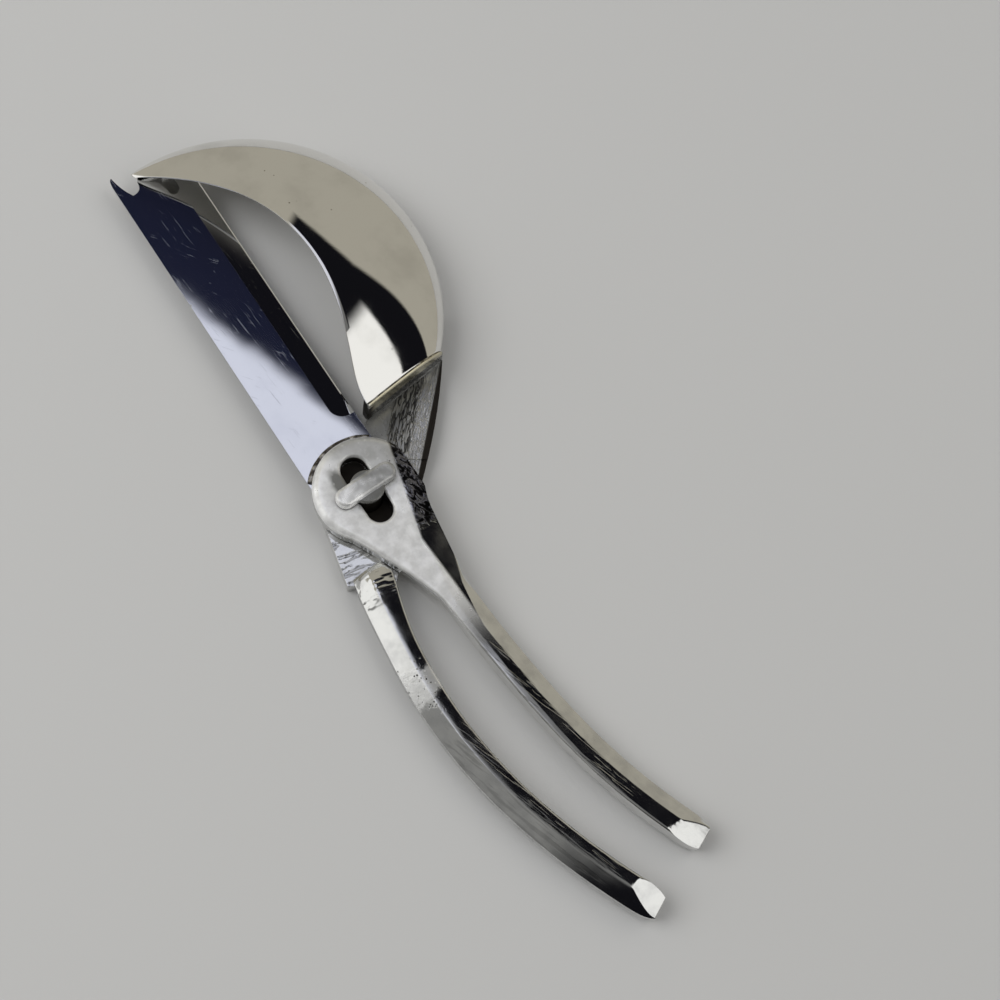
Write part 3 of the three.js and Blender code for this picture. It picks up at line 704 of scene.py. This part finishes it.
def arm_skin(place, x, y, z):
    right = arm_right(x, y)
    band = right.rise(*ARM_CREST) * (1 - 0.65 * right.rise(7.0, 8.5))
    short = on_arm(x, y) * (1 - past_shoulder(x, y).rise(BAR_FACE - 0.2, BAR_FACE))
    top = floor_level(z) * band * short * grain(place, 4.0).rise(0.22, 0.36)
    return top.math("MAXIMUM", bar_face(x, y, z, *BAR_ROUGH))


def handle_patch(place, x, y, z):
    ragged = y + 9.0 * grain(place, 2.5)
    return ragged.rise(-46.5, -44.0) * (1 - ragged.rise(-39.0, -36.5)) * z.rise(4.0, 5.0) * 0.55


def arm_satin(place, x, y, z):
    arm = floor_level(z) * on_arm(x, y) * (1 - 0.6 * arm_right(x, y).rise(*ARM_CREST))
    return (0.7 * arm).math("MAXIMUM", handle_patch(place, x, y, z))


# Darker on the arm's top, most towards the bar and least on its right side; painted shade on the lower part
# of the bar's face
def arm_darkening_and_bar_shade(place, x, y, z):
    near = past_shoulder(x, y).rise(5.0, 13.0)
    arm = floor_level(z) * on_arm(x, y) * (0.75 - 0.6 * arm_right(x, y).rise(4.0, 9.0) + 0.5 * near)
    return arm.math("MAXIMUM", 0.8 * bar_face(x, y, z, *BAR_ROUGH))


def lap_marks(place, x, y, z):
    return floor_level(z) * (1 - (x + y).rise(-12.0, -9.0)) * 0.55


def handle_streaks(place, x, y, z):
    return (1 - y.rise(-62.0, -52.0)) * y.rise(-106.0, -100.0) * 0.3


def root_ripples(place, x, y, z):
    return y.rise(-26.0, -21.0) * (1 - y.rise(-17.0, -16.0)) * z.rise(5.0, 6.0)


# Painted reflection of a yellow box on the upper part of the bar's face, away from its left end
def root_wall(place, x, y, z):
    return bar_face(x, y, z, *BAR_GOLD) * x.rise(10.0, 11.5)


def handle_pits(place, x, y, z):
    return y.rise(-54.0, -48.0) * (1 - y.rise(-42.0, -38.0))


# Painted shade under the blade lever's eye: round the pivot, between the lap plate's level and the eye's top
def under_eye(place, x, y, z):
    return (1 - (x * x + y * y).math("SQRT").rise(9.4, 10.2)) * z.rise(3.0, 3.3) * (1 - z.rise(8.3, 8.7))


# Painted shade on the arm's right side below its top, in the corner at the left end of the bar's face, on the
# seat behind the bar under the cup, and under the eye
def cup_painted_shade(place, x, y, z):
    past = past_shoulder(x, y)
    edge = arm_right(x, y).rise(10.8, 11.2) * on_arm(x, y) * (1 - z.rise(4.2, 4.6))
    corner = past.rise(BAR_FACE - 0.4, BAR_FACE) * (1 - x.rise(11.0, 13.0))
    corner = corner * z.rise(4.0, 4.3) * (1 - z.rise(11.0, 11.6))
    painted_shade = under_eye(place, x, y, z)
    for other in (edge, corner, past.rise(BAR_BACK, BAR_BACK + 0.3)):
        painted_shade = painted_shade.math("MAXIMUM", other)
    return painted_shade


softened(cup_lever, 0)
cup_lever.data.materials.clear()
cup_lever.data.materials.append(plated_casting("cup_lever_plating", {
    "satin": arm_satin, "darkening_and_painted_shade": arm_darkening_and_bar_shade, "streaks": handle_streaks, "marks": lap_marks,
    "ripples": root_ripples, "skin": arm_skin, "pits": handle_pits, "gold": root_wall, "painted_shade": cup_painted_shade}))
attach(cup_lever, "cup_half")
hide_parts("cup_lever")

# Pivot stud: a cast stud riveted into the lap plate from below, with a round shank and a bar across its top
# that locks the two levers together. It is worn on top, and its colour holds painted light and shade: the bar
# is lighter at its -x end and darker towards +x, and the boss and the shank are darker.
HEAD_BOTTOM = 8.9
HEAD_LENGTH = 16.0
HEAD_WIDTH = 4.8
HEAD_THICKNESS = 2.8
# Heights on the bar, and how far in its side is there
HEAD_LEVELS = ((0.0, 0.5), (0.12, 0.2), (0.4, 0.0), (1.9, 0.0), (2.3, 0.1), (2.58, 0.3), (2.74, 0.6),
               (HEAD_THICKNESS, 0.95))
HEAD_CREST = 0.5
HEAD_SKEW = math.radians(3)
HEAD_SHIFT = 0.6
BOSS_RADIUS = 4.05
BOSS_ROUND = 0.5


def bar_outline(half_length, half_width, steps=24):
    """Outline of a bar with round ends along X, anticlockwise."""
    end = arc(half_width, -np.pi / 2, np.pi / 2, steps)
    reach = half_length - half_width
    return np.concatenate([end + (reach, 0), -end - (reach, 0)])


head_rings = []
for level, inset in HEAD_LEVELS:
    outline = turned(bar_outline(HEAD_LENGTH / 2 - inset, HEAD_WIDTH / 2 - inset), HEAD_SKEW)
    head_rings.append(levelled(outline + (0, HEAD_SHIFT), HEAD_BOTTOM + level))
head = skinned("head", head_rings)
stud_top = HEAD_BOTTOM + HEAD_THICKNESS - HEAD_CREST
stud = lathed("pivot_stud_casting", (
    (STUD_TAIL_RADIUS, 0), (STUD_RADIUS, STUD_TAIL_DEPTH), (STUD_RADIUS, HEAD_BOTTOM + GAP),
    *arc(BOSS_ROUND, 0, np.pi / 2, 8, (BOSS_RADIUS - BOSS_ROUND, stud_top - BOSS_ROUND))))
joined(stud, head, "UNION")
softened(stud, 0, crease=40)

STUD_BRIGHT = (0.98, 0.98, 0.97)
STUD_WORN_AND_SHADED = (0.33, 0.33, 0.32)
STUD_SHADED_SIDE = (0.20, 0.20, 0.19)
stud_metal, stud_shader, place = new_finish("stud_worn_metal")
x, y, z = in_mm(place)
# Painted shade on the boss beside the bar
beside = (y - HEAD_SKEW * x - HEAD_SHIFT).math("ABSOLUTE").rise(HEAD_WIDTH / 2 - 0.05, HEAD_WIDTH / 2 + 0.15)
# Painted shade on the shank and underside below the eye's top
below = 1 - z.rise(9.3, 10.0)
smear = grain(place, 2.4, 4.0).rise(0.3, 0.7)
# Painted light: lighter towards -x and darker towards +x, with some random wear
wear_and_light = 0.25 * smear + 0.75 * (x + 0.8 * y).rise(-6.5, 3.5)
shade = beside.tint(wear_and_light.tint(STUD_BRIGHT, STUD_WORN_AND_SHADED), STUD_SHADED_SIDE)
below.tint(shade, SHADE_BLACK).to(stud_shader.inputs["Base Color"])
(0.24 + 0.14 * smear + 0.2 * below).to(stud_shader.inputs["Roughness"])
(0.45 + 0.3 * smear).to(stud_shader.inputs["Metallic"])
swell = bumped(stud_shader, grain(place, 3.0, 2.0), 0.08)
bumped(stud_shader, grain(place, 0.4, 3.0, (5, 1, 1), 3), 0.012, swell)
stud.data.materials.append(stud_metal)
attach(stud, "cup_half")
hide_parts("pivot_stud")

# Shell cup: a quarter of a dome pressed from thin sheet, open towards the blade, with a bright ground rim. It
# is brazed to the bar at the end of the arm, mirror polished and plated.
SHELL_STEPS = 220
SHELL_PROFILE_STEPS = 72
SHELL_RIM_EDGE = 0.10

dome_tree = bpy.data.node_groups.new("pressed_dome", "GeometryNodeTree")
dome_tree.interface.new_socket("Geometry", in_out="OUTPUT", socket_type="NodeSocketGeometry")
dome_sizes = {
    "Radius": CUP_RADIUS, "Rim Bow": RIM_BOW, "Rim Arch": RIM_ARCH, "Tip Height": RIM_TIP_HEIGHT,
    "Root Height": RIM_ROOT_HEIGHT, "Edge Level": CUP_EDGE}
dome_inputs = {name: dome_tree.interface.new_socket(name, in_out="INPUT", socket_type="NodeSocketFloat")
               for name in dome_sizes}
dome_finish = dome_tree.interface.new_socket("Finish", in_out="INPUT", socket_type="NodeSocketMaterial")
given = dome_tree.nodes.new("NodeGroupInput")
size = {name: Strand(dome_tree, given.outputs[name]) for name in dome_sizes}
grid = Strand.node(dome_tree, "GeometryNodeMeshGrid", None, 0, {
    "Size X": 1.0, "Size Y": 1.0, "Vertices X": SHELL_STEPS, "Vertices Y": SHELL_PROFILE_STEPS})
u, v, _ = Strand.node(dome_tree, "GeometryNodeInputPosition").parts()
at = (u + 0.5) * (bar_start - GAP / cup_arc)
turn = (v + 0.5) * (math.pi / 2)
angle = math.radians(CUP_TIP_ANGLE) - at * math.radians(CUP_TIP_ANGLE - CUP_ROOT_ANGLE)
outer_x = size["Radius"] * angle.math("COSINE") + CUP_MIDDLE[0] * MM
outer_y = size["Radius"] * angle.math("SINE") + CUP_MIDDLE[1] * MM
left = 1 - at / rim_bow_end
bow = 2 * size["Rim Bow"] * (1 - left) * (left + (left * left + RIM_EASE ** 2).math("SQRT"))
rim_x = RIM_TIP[0] * MM + at * (rim_chord[0] * MM) + bow * rim_side[0]
rim_y = RIM_TIP[1] * MM + at * (rim_chord[1] * MM) + bow * rim_side[1]
arch = (at * math.pi).math("SINE").math("MAXIMUM", 0.0) ** RIM_ARCH_FULLNESS
height = size["Tip Height"] + (size["Root Height"] - size["Tip Height"]) * at + size["Rim Arch"] * arch
power = 2 / (at ** 4.0 + 2.0)
across = turn.math("COSINE").math("MAXIMUM", 0.0) ** power
rise = turn.math("SINE").math("MAXIMUM", 0.0) ** power
spot = Strand.node(dome_tree, "ShaderNodeCombineXYZ", None, 0, {
    0: rim_x + (outer_x - rim_x) * across, 1: rim_y + (outer_y - rim_y) * across,
    2: size["Edge Level"] + height * rise})
pressed = Strand.node(dome_tree, "GeometryNodeSetPosition", None, 0, {"Geometry": grid, "Position": spot})
whole = Strand.node(dome_tree, "GeometryNodeRealizeInstances", None, 0, {"Geometry": pressed})
coated = Strand.node(dome_tree, "GeometryNodeSetMaterial", None, 0, {
    "Geometry": whole, "Material": Strand(dome_tree, given.outputs["Finish"])})
coated.to(dome_tree.nodes.new("NodeGroupOutput").inputs["Geometry"])

CUP_BRIGHT = (0.83, 0.82, 0.79)
CUP_HAZE = (0.72, 0.71, 0.68)
CUP_SPECK = (0.3, 0.27, 0.22)
SPECK_DENSITY = 0.42
cup_mirror, cup_shader, place = new_finish("cup_mirror_plating")
haze = grain(place, 11.0, 4.0).rise(0.45, 0.8)
specks = (1 - spots(place, SPECK_DENSITY).rise(0.05, 0.11)) * grain(place, 7.0).rise(0.56, 0.66)
specks.tint(haze.tint(CUP_BRIGHT, CUP_HAZE), CUP_SPECK).to(cup_shader.inputs["Base Color"])
(0.03 + 0.05 * haze + 0.3 * specks).to(cup_shader.inputs["Roughness"])
swell = bumped(cup_shader, grain(place, 16.0, 1.0), 0.05)
bumped(cup_shader, grain(place, 0.3, 2.0, (1, 40, 1), 35), 0.0012, swell)

shell = bpy.data.objects.new("pressed_shell", bpy.data.meshes.new("pressed_shell"))
scene.collection.objects.link(shell)
press = shell.modifiers.new("press", "NODES")
press.node_group = dome_tree
for name, value in dome_sizes.items():
    press[dome_inputs[name].identifier] = value * MM
press[dome_finish.identifier] = cup_mirror
settled(shell)
wall = shell.modifiers.new("wall", "SOLIDIFY")
wall.thickness = SHELL_WALL * MM
wall.offset = 1
wall.use_even_offset = True
softened(shell, SHELL_RIM_EDGE, crease=50)
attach(shell, "cup_half")
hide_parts("shell_cup")

# Blade lever: one casting with a round eye that laps over the cup lever, a neck and a curved handle. Its eye
# is dished and has a key slot that the stud's bar passes through. It is polished, plated and worn to satin.
EYE_BOTTOM = 4.3
EYE_TOP = 9.1
EYE_ROUND = 1.9
DISH_DEPTH = 0.12
DISH_EDGE = (5.5, 9.0)
# Places along the lever, and how far in from the facet its flank starts there
FLANK_RUNS = (-6, 5, 16, 30, 42, 60, 105)
FLANK_WIDTHS = (2.5, 3.5, 5.1, 3.4, 1.6, 1.8, 3.0)
FLANK_SLOPE = 0.10
FLANK_RISE = (-12.0, -2.0)
FACET_RISE = (18.0, 44.0)
CROWN_RISE = (12.0, 34.0)
CROWN_FALL = (66.0, 96.0)
NECK_BLEND = 1.6
NECK_BLEND_RISE = (2.0, 9.0)
NECK_DROP = 15.0
HANDLE_LIFT = 0.3
EYE_FLAT = 12.2
EYE_FLAT_TURN = 0.165
KEY_CLEARANCE = 0.7
EYE_RINGS = 60
NECK_RINGS = 90
LEVER_RINGS = 70
EYE_FIRST_TURN = 0.015
# Heights from the eye's top, and how much wider the key slot is there
KEY_LEVELS = ((-EYE_TOP, 0), (-0.9, 0), (-0.55, 0.06), (-0.3, 0.2), (-0.1, 0.5), (0.2, 1.3))

_, (ahead,), blade_handle_length = bezier(BLADE_HANDLE_POINTS, [0])
aside = np.array((-ahead[1], ahead[0]))
eye_run = EYE_SHIFT * ahead.sum()
eye_side = EYE_SHIFT * aside.sum()
drop_end, end_start = NECK_LENGTH + NECK_DROP, blade_handle_length - HANDLE_END
lever_runs = np.concatenate([
    eye_run - EYE_RADIUS * np.cos(np.linspace(EYE_FIRST_TURN, np.pi / 2, EYE_RINGS)),
    np.linspace(eye_run, drop_end, NECK_RINGS)[1:], np.linspace(drop_end, end_start, LEVER_RINGS)[1:],
    np.linspace(end_start, blade_handle_length, END_RINGS)[1:]])
places, alongs, _ = bezier(BLADE_HANDLE_POINTS, np.maximum(lever_runs, 0))
rings = []
for run, place, along in zip(lever_runs, places, alongs):
    place = place + ahead * min(run, 0)
    outward = np.array((-along[1], along[0]))
    narrowing, droop = end_shape(run, blade_handle_length)
    chord = math.sqrt(max(EYE_RADIUS ** 2 - (run - eye_run) ** 2, 0))
    neck, flare = neck_half(max(run, 0))
    neck = neck - narrowing if run > 0 else 0
    blend = NECK_BLEND * eased(run, *NECK_BLEND_RISE)
    outer = (neck + eye_side + chord + math.hypot(neck - eye_side - chord, blend)) / 2
    if run < NECK_LENGTH / 2:
        outer = min(outer, EYE_FLAT - EYE_FLAT_TURN * run)
    inner = -max(neck, chord - eye_side)
    drop = eased(run, NECK_LENGTH, drop_end)
    top = EYE_TOP + (HANDLE_LIFT + HANDLE_HEIGHT - EYE_TOP) * drop
    bottom = EYE_BOTTOM + (HANDLE_LIFT - EYE_BOTTOM) * drop
    foot = (GAP + (HANDLE_FOOT - GAP) * drop) * (1 - droop / HANDLE_HEIGHT)
    steep = eased(run, *FACET_RISE)
    facet = max(HANDLE_FACET * steep * (1 - 2 * narrowing / HANDLE_WIDTH), LEAST_SIDE)
    flank = outer - facet - np.interp(run, FLANK_RUNS, FLANK_WIDTHS)
    rounding = HANDLE_ROUND + (EYE_ROUND - HANDLE_ROUND) * flare
    crown = HANDLE_CROWN * eased(run, *CROWN_RISE) * (1 - eased(run, *CROWN_FALL))

    def lever_top(across):
        surface = handle_top(
            across, inner, outer, top, crown, 0.0, facet, HANDLE_FACET_DROP * steep, rounding)
        slope = FLANK_SLOPE * eased(run, *FLANK_RISE)
        surface = np.minimum(np.minimum(surface, top - slope * (across - flank)), top - droop)
        if run < 0:
            rim = np.clip(EYE_RADIUS - np.hypot(run - eye_run, across - eye_side), 0, EYE_ROUND)
            surface = np.minimum(surface, top - EYE_ROUND + np.sqrt(EYE_ROUND ** 2 - (EYE_ROUND - rim) ** 2))
        return surface - DISH_DEPTH * (1 - eased(np.hypot(run, across), *DISH_EDGE))

    ring = lever_ring(inner, outer, lever_top, bottom, foot)
    rings.append(np.column_stack([place + outward * ring[:, :1], ring[:, 1]])[::-1])
blade_lever = skinned("blade_lever_casting", rings)


def slot_outline(spread=0.0):
    """Outline of the key slot, made wider by a spread."""
    clear = KEY_CLEARANCE + spread
    return turned(bar_outline(HEAD_LENGTH / 2 + clear, HEAD_WIDTH / 2 + clear), math.pi / 2)


def stud_bore(name):
    """What is bored out of the piece that turns on the stud's shank."""
    return lathed(name, ((STUD_RADIUS + GAP, 0), (STUD_RADIUS + GAP, EYE_TOP + CUT_PAST)))


key_slot = skinned("key_slot", [
    levelled(slot_outline(spread), EYE_TOP + level) for level, spread in KEY_LEVELS])
joined(blade_lever, key_slot, "DIFFERENCE")
joined(blade_lever, stud_bore("key_bore"), "DIFFERENCE")

EYE_CREASE = (10.1, 5.9)
EYE_CREASE_LEAN = 0.26
NECK_CREASE = (4.2, -16.0)
NECK_CREASE_LEAN = -0.05
SLOT_PATCH_SCALE = (1.3, 0.6)
SLOT_PATCH_SHIFT = (6.0, -2.6)


def beyond_crease(x, y):
    """How far a place on the neck is beyond the crease where its flank starts."""
    eye = EYE_CREASE[0] + EYE_CREASE_LEAN * (y - EYE_CREASE[1])
    neck = NECK_CREASE[0] + NECK_CREASE_LEAN * (y - NECK_CREASE[1])
    return x - eye.math("MAXIMUM", neck)


def eye_satin(place, x, y, z):
    return y.rise(-48.0, -28.0) * z.rise(6.5, 7.5) * (1 - beyond_crease(x, y).rise(-0.4, 0.5))


# A darker patch left of the key slot, and painted reflection of the room's dark screen that darkens the eye's
# top towards +x and +y, broken up by noise
def eye_darkening_and_reflection(place, x, y, z):
    x_off, y_off = (scale * part + shift for scale, part, shift in zip(SLOT_PATCH_SCALE, (x, y), SLOT_PATCH_SHIFT))
    slot_patch = 1 - (x_off ** 2.0 + y_off ** 2.0).math("SQRT").rise(0.8, 3.2)
    darkening_and_painted_shade = 1.3 * slot_patch + 0.6 * (x + y).rise(3.0, 12.0)
    return darkening_and_painted_shade * z.rise(8.0, 8.6) * grain(place, 1.2, 4.0).rise(0.0, 0.45)


def neck_scale(place, x, y, z):
    flank = beyond_crease(x, y).rise(-0.2, 0.5) * z.rise(7.9, 8.2)
    return flank * y.rise(-15.5, -13.5) * (1 - y.rise(5.5, 8.0))


def eye_pits(place, x, y, z):
    return x.rise(7.5, 8.5) * y.rise(2.0, 3.0) * z.rise(8.2, 8.5)


def neck_streaks(place, x, y, z):
    return (1 - y.rise(-50.0, -40.0)) * y.rise(-96.0, -84.0) * z.rise(8.1, 8.3) * 0.3


softened(blade_lever, 0, crease=40)
blade_lever.data.materials.clear()
blade_lever.data.materials.append(plated_casting("blade_lever_plating", {
    "satin": eye_satin, "darkening_and_painted_shade": eye_darkening_and_reflection, "streaks": neck_streaks, "scale": neck_scale,
    "pits": eye_pits, "painted_shade": under_eye}))
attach(blade_lever, "blade_half")
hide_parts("blade_lever")

# Blade: a flat strip of steel with a ground bevel along its edge, a sloping end and a notched spur for
# prying. Its tang is let in under the eye and brazed there. It is mirror polished and plated, and finely
# scratched along its length.
BLADE_BACK = -10.3
BLADE_FRONT = 8.5
BLADE_BOTTOM = 4.45
BLADE_TOP = 5.95
BLADE_LENGTH = 100.4
BLADE_LAND = 0.25
BLADE_EDGE = 0.07
BEVEL_LAND = 0.75
BEVEL_WIDTH = 4.9
BEVEL_BITE = 0.02
EDGE_WIDTH = 0.35
BEVEL_HEEL = 18.6
BEVEL_HEEL_ROUND = 3.6
END_SLOPE = 8.0
END_ROUND = 3.0
NOTCH_DEPTH = 6.6
NOTCH_WIDTH = 2.6
NOTCH_LIP = 0.9
SPUR_WIDTH = 3.2
SPUR_TIP = 0.9
SPUR_HOOK = 0.65
TANG_RADIUS = 11.0
NICK_PLACE = 61.7
NICK_LENGTH = 1.1
NICK_DEPTH = 0.4


def blade_outline(clearance=0.0):
    """Outline of the blade and its tang, wider by a clearance, anticlockwise from the tang."""
    back, front, tang = BLADE_BACK - clearance, BLADE_FRONT + clearance, TANG_RADIUS + clearance
    notch_bottom = BLADE_LENGTH - NOTCH_DEPTH
    notch_left = BLADE_BACK + SPUR_WIDTH
    notch_right = notch_left + NOTCH_WIDTH
    tip = BLADE_BACK + SPUR_TIP
    end = BLADE_LENGTH - END_SLOPE
    shoulder = (front, end - END_ROUND)
    end_corner = (front - END_ROUND, end + NOTCH_LIP)
    notch_side = (notch_right, notch_bottom + NOTCH_WIDTH)
    notch_floor = (notch_left, notch_bottom)
    spur = (tip, BLADE_LENGTH)
    nick_side = NICK_LENGTH / 2
    return np.concatenate([
        arc(tang, -math.acos(back / tang), math.acos(front / tang), 60),
        [shoulder], swept(shoulder, (front, end), end_corner),
        [(notch_right + NOTCH_LIP, BLADE_LENGTH - NOTCH_WIDTH), notch_side],
        swept(notch_side, (notch_right, notch_bottom), notch_floor),
        swept(notch_floor, (tip + SPUR_HOOK, notch_bottom + NOTCH_WIDTH), spur),
        swept(spur, (back, BLADE_LENGTH), (back, BLADE_LENGTH - SPUR_WIDTH)),
        [(back, NICK_PLACE + nick_side), (back + NICK_DEPTH, NICK_PLACE), (back, NICK_PLACE - nick_side)]])


def bevel_stock(face, direction, width, depths):
    """What the wheel takes off one face of the blade, from a depth at the inner line to one at the edge."""
    inner, outer, far_end = BLADE_FRONT - width, BLADE_FRONT + CUT_PAST, BLADE_LENGTH + CUT_PAST
    heel_middle = (inner + BEVEL_HEEL_ROUND, BEVEL_HEEL + BEVEL_HEEL_ROUND)
    heel = arc(BEVEL_HEEL_ROUND, np.pi, 1.5 * np.pi, 20, heel_middle)
    outline = np.concatenate([[(outer, BEVEL_HEEL), (outer, far_end), (inner, far_end)], heel])
    depth = depths[0] + (depths[1] - depths[0]) * (outline[:, 0] - inner) / width + BEVEL_BITE
    ground = np.column_stack([outline, face - direction * depth])
    clear = levelled(outline, face + direction * CUT_PAST)
    return skinned("bevel_stock", [ground, clear] if direction > 0 else [clear, ground])


blade = raised("blade_strip", blade_outline(), BLADE_BOTTOM, BLADE_TOP)
bevel_depth = (BLADE_TOP - BLADE_BOTTOM - BEVEL_LAND) / 2
edge_depths = (bevel_depth * (1 - EDGE_WIDTH / BEVEL_WIDTH), (BLADE_TOP - BLADE_BOTTOM - BLADE_LAND) / 2)
for face, direction in ((BLADE_TOP, 1), (BLADE_BOTTOM, -1)):
    joined(blade, bevel_stock(face, direction, BEVEL_WIDTH, (0, bevel_depth)), "DIFFERENCE")
    joined(blade, bevel_stock(face, direction, EDGE_WIDTH, edge_depths), "DIFFERENCE")
joined(blade, raised("blade_slot", slot_outline(), 0, EYE_TOP + CUT_PAST), "DIFFERENCE")
joined(blade, stud_bore("blade_bore"), "DIFFERENCE")
softened(blade, BLADE_EDGE, crease=20)
softened(blade, 0, crease=3)
rebate = raised("tang_rebate", blade_outline(GAP), EYE_BOTTOM - CUT_PAST, BLADE_TOP + GAP)
joined(blade_lever, rebate, "DIFFERENCE")
softened(blade_lever, 0, crease=40)

BLADE_BRIGHT = (0.81, 0.82, 0.84)
BLADE_HAZE = (0.76, 0.77, 0.80)
SCRATCH_WIDTH = 0.13
SCRATCH_RUN = 94.0
CROSS_SCRATCH_RUN = 128.0
blade_mirror, blade_shader, place = new_finish("blade_mirror_plating")
haze = grain(place, 9.0, 5.0).rise(0.42, 0.8)
lines = grain(place, SCRATCH_WIDTH, 2.0, (70, 1, 1), SCRATCH_RUN).rise(0.66, 0.74)
lines = lines * grain(place, 8.0).rise(0.45, 0.65)
cross = grain(place, SCRATCH_WIDTH, 2.0, (55, 1, 1), CROSS_SCRATCH_RUN).rise(0.68, 0.76)
lines = lines + cross * grain(place, 6.0).rise(0.5, 0.65)
haze.tint(BLADE_BRIGHT, BLADE_HAZE).to(blade_shader.inputs["Base Color"])
(0.022 + 0.012 * haze + 0.06 * lines).to(blade_shader.inputs["Roughness"])
swell = bumped(blade_shader, grain(place, 14.0, 1.0), 0.02)
bumped(blade_shader, lines, -0.0008, swell)
blade.data.materials.clear()
blade.data.materials.append(blade_mirror)
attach(blade, "blade_half")
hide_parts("blade")

# Braze: a small uneven bead of filler metal that ran along each brazed seam, where the blade goes in under
# the eye and where the cup's root meets the bar. It was plated over with the rest, and has darkened.
EYE_BEAD_RADIUS = 0.75
EYE_BEAD_ARC = (38.0, 152.0)
EYE_BEAD_OUT = 0.4
EYE_BEAD_INSET = 0.4
EYE_BEAD_LIFT = 0.1
ROOT_BEAD_RADIUS = 0.24
ROOT_BEAD_INSET = 0.05
BEAD_UNEVEN = 0.08
BEAD_LUMPS = 420.0
BEAD_STEP = 0.25

bead_tree = bpy.data.node_groups.new("braze_bead", "GeometryNodeTree")
bead_tree.interface.new_socket("Geometry", in_out="OUTPUT", socket_type="NodeSocketGeometry")
bead_kinds = {"Seam": "NodeSocketGeometry", "Radius": "NodeSocketFloat", "Unevenness": "NodeSocketFloat",
              "Seed": "NodeSocketFloat", "Finish": "NodeSocketMaterial"}
bead_sockets = {name: bead_tree.interface.new_socket(name, in_out="INPUT", socket_type=kind)
                for name, kind in bead_kinds.items()}
given = bead_tree.nodes.new("NodeGroupInput")
take = {name: Strand(bead_tree, given.outputs[name]) for name in bead_sockets}
path = Strand.node(bead_tree, "GeometryNodeMeshToCurve", None, 0, {"Mesh": take["Seam"]})
path = Strand.node(bead_tree, "GeometryNodeResampleCurve", {"mode": "LENGTH"}, 0, {
    "Curve": path, "Length": BEAD_STEP * MM})
lumps = Strand.node(bead_tree, "ShaderNodeTexNoise", {"noise_dimensions": "4D"}, 0, {
    "Scale": BEAD_LUMPS, "Detail": 2.0, "W": take["Seed"]})
swollen = take["Radius"] * (1 + take["Unevenness"] * (lumps - 0.5) * 4)
round_wire = Strand.node(bead_tree, "GeometryNodeCurvePrimitiveCircle", None, 0, {
    "Resolution": 12, "Radius": 1.0})
tube = Strand.node(bead_tree, "GeometryNodeCurveToMesh", None, 0, {
    "Curve": path, "Profile Curve": round_wire, "Scale": swollen, "Fill Caps": True})
tube = Strand.node(bead_tree, "GeometryNodeRealizeInstances", None, 0, {"Geometry": tube})
tube = Strand.node(bead_tree, "GeometryNodeSetMaterial", None, 0, {
    "Geometry": tube, "Material": take["Finish"]})
tube.to(bead_tree.nodes.new("NodeGroupOutput").inputs["Geometry"])

BEAD_BRIGHT = (0.60, 0.58, 0.54)
BEAD_DARK = (0.10, 0.09, 0.08)
bead_metal, bead_shader, place = new_finish("braze_plating")
grain(place, 1.6, 3.0).rise(0.3, 0.6).tint(BEAD_BRIGHT, BEAD_DARK).to(bead_shader.inputs["Base Color"])
(0.16 + 0.2 * grain(place, 1.1, 2.0)).to(bead_shader.inputs["Roughness"])
bumped(bead_shader, grain(place, 0.8, 2.0), 0.03)

eye_seam = arc(EYE_RADIUS + EYE_BEAD_OUT, *np.radians(EYE_BEAD_ARC), 120, (EYE_SHIFT, EYE_SHIFT))
eye_seam = levelled(eye_seam, BLADE_TOP + EYE_BEAD_LIFT)
on_blade = (eye_seam[:, 0] > BLADE_BACK + EYE_BEAD_INSET) & (eye_seam[:, 0] < BLADE_FRONT - EYE_BEAD_INSET)
root_seam = dome_profile(bar_start - GAP / 2 / cup_arc, ROOT_BEAD_INSET, ROOT_BEAD_INSET, 0.0, 90)
for name, seam, radius, seed, body in (
        ("eye_braze", eye_seam[on_blade], EYE_BEAD_RADIUS, 1.0, "blade_half"),
        ("root_braze", root_seam, ROOT_BEAD_RADIUS, 2.0, "cup_half")):
    bead = made(name, seam, [], zip(range(len(seam) - 1), range(1, len(seam))))
    run = bead.modifiers.new("run", "NODES")
    run.node_group = bead_tree
    bead_values = {"Radius": radius * MM, "Unevenness": BEAD_UNEVEN, "Seed": seed, "Finish": bead_metal}
    for key, value in bead_values.items():
        run[bead_sockets[key].identifier] = value
    settled(bead)
    bead.data.shade_smooth()
    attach(bead, body)
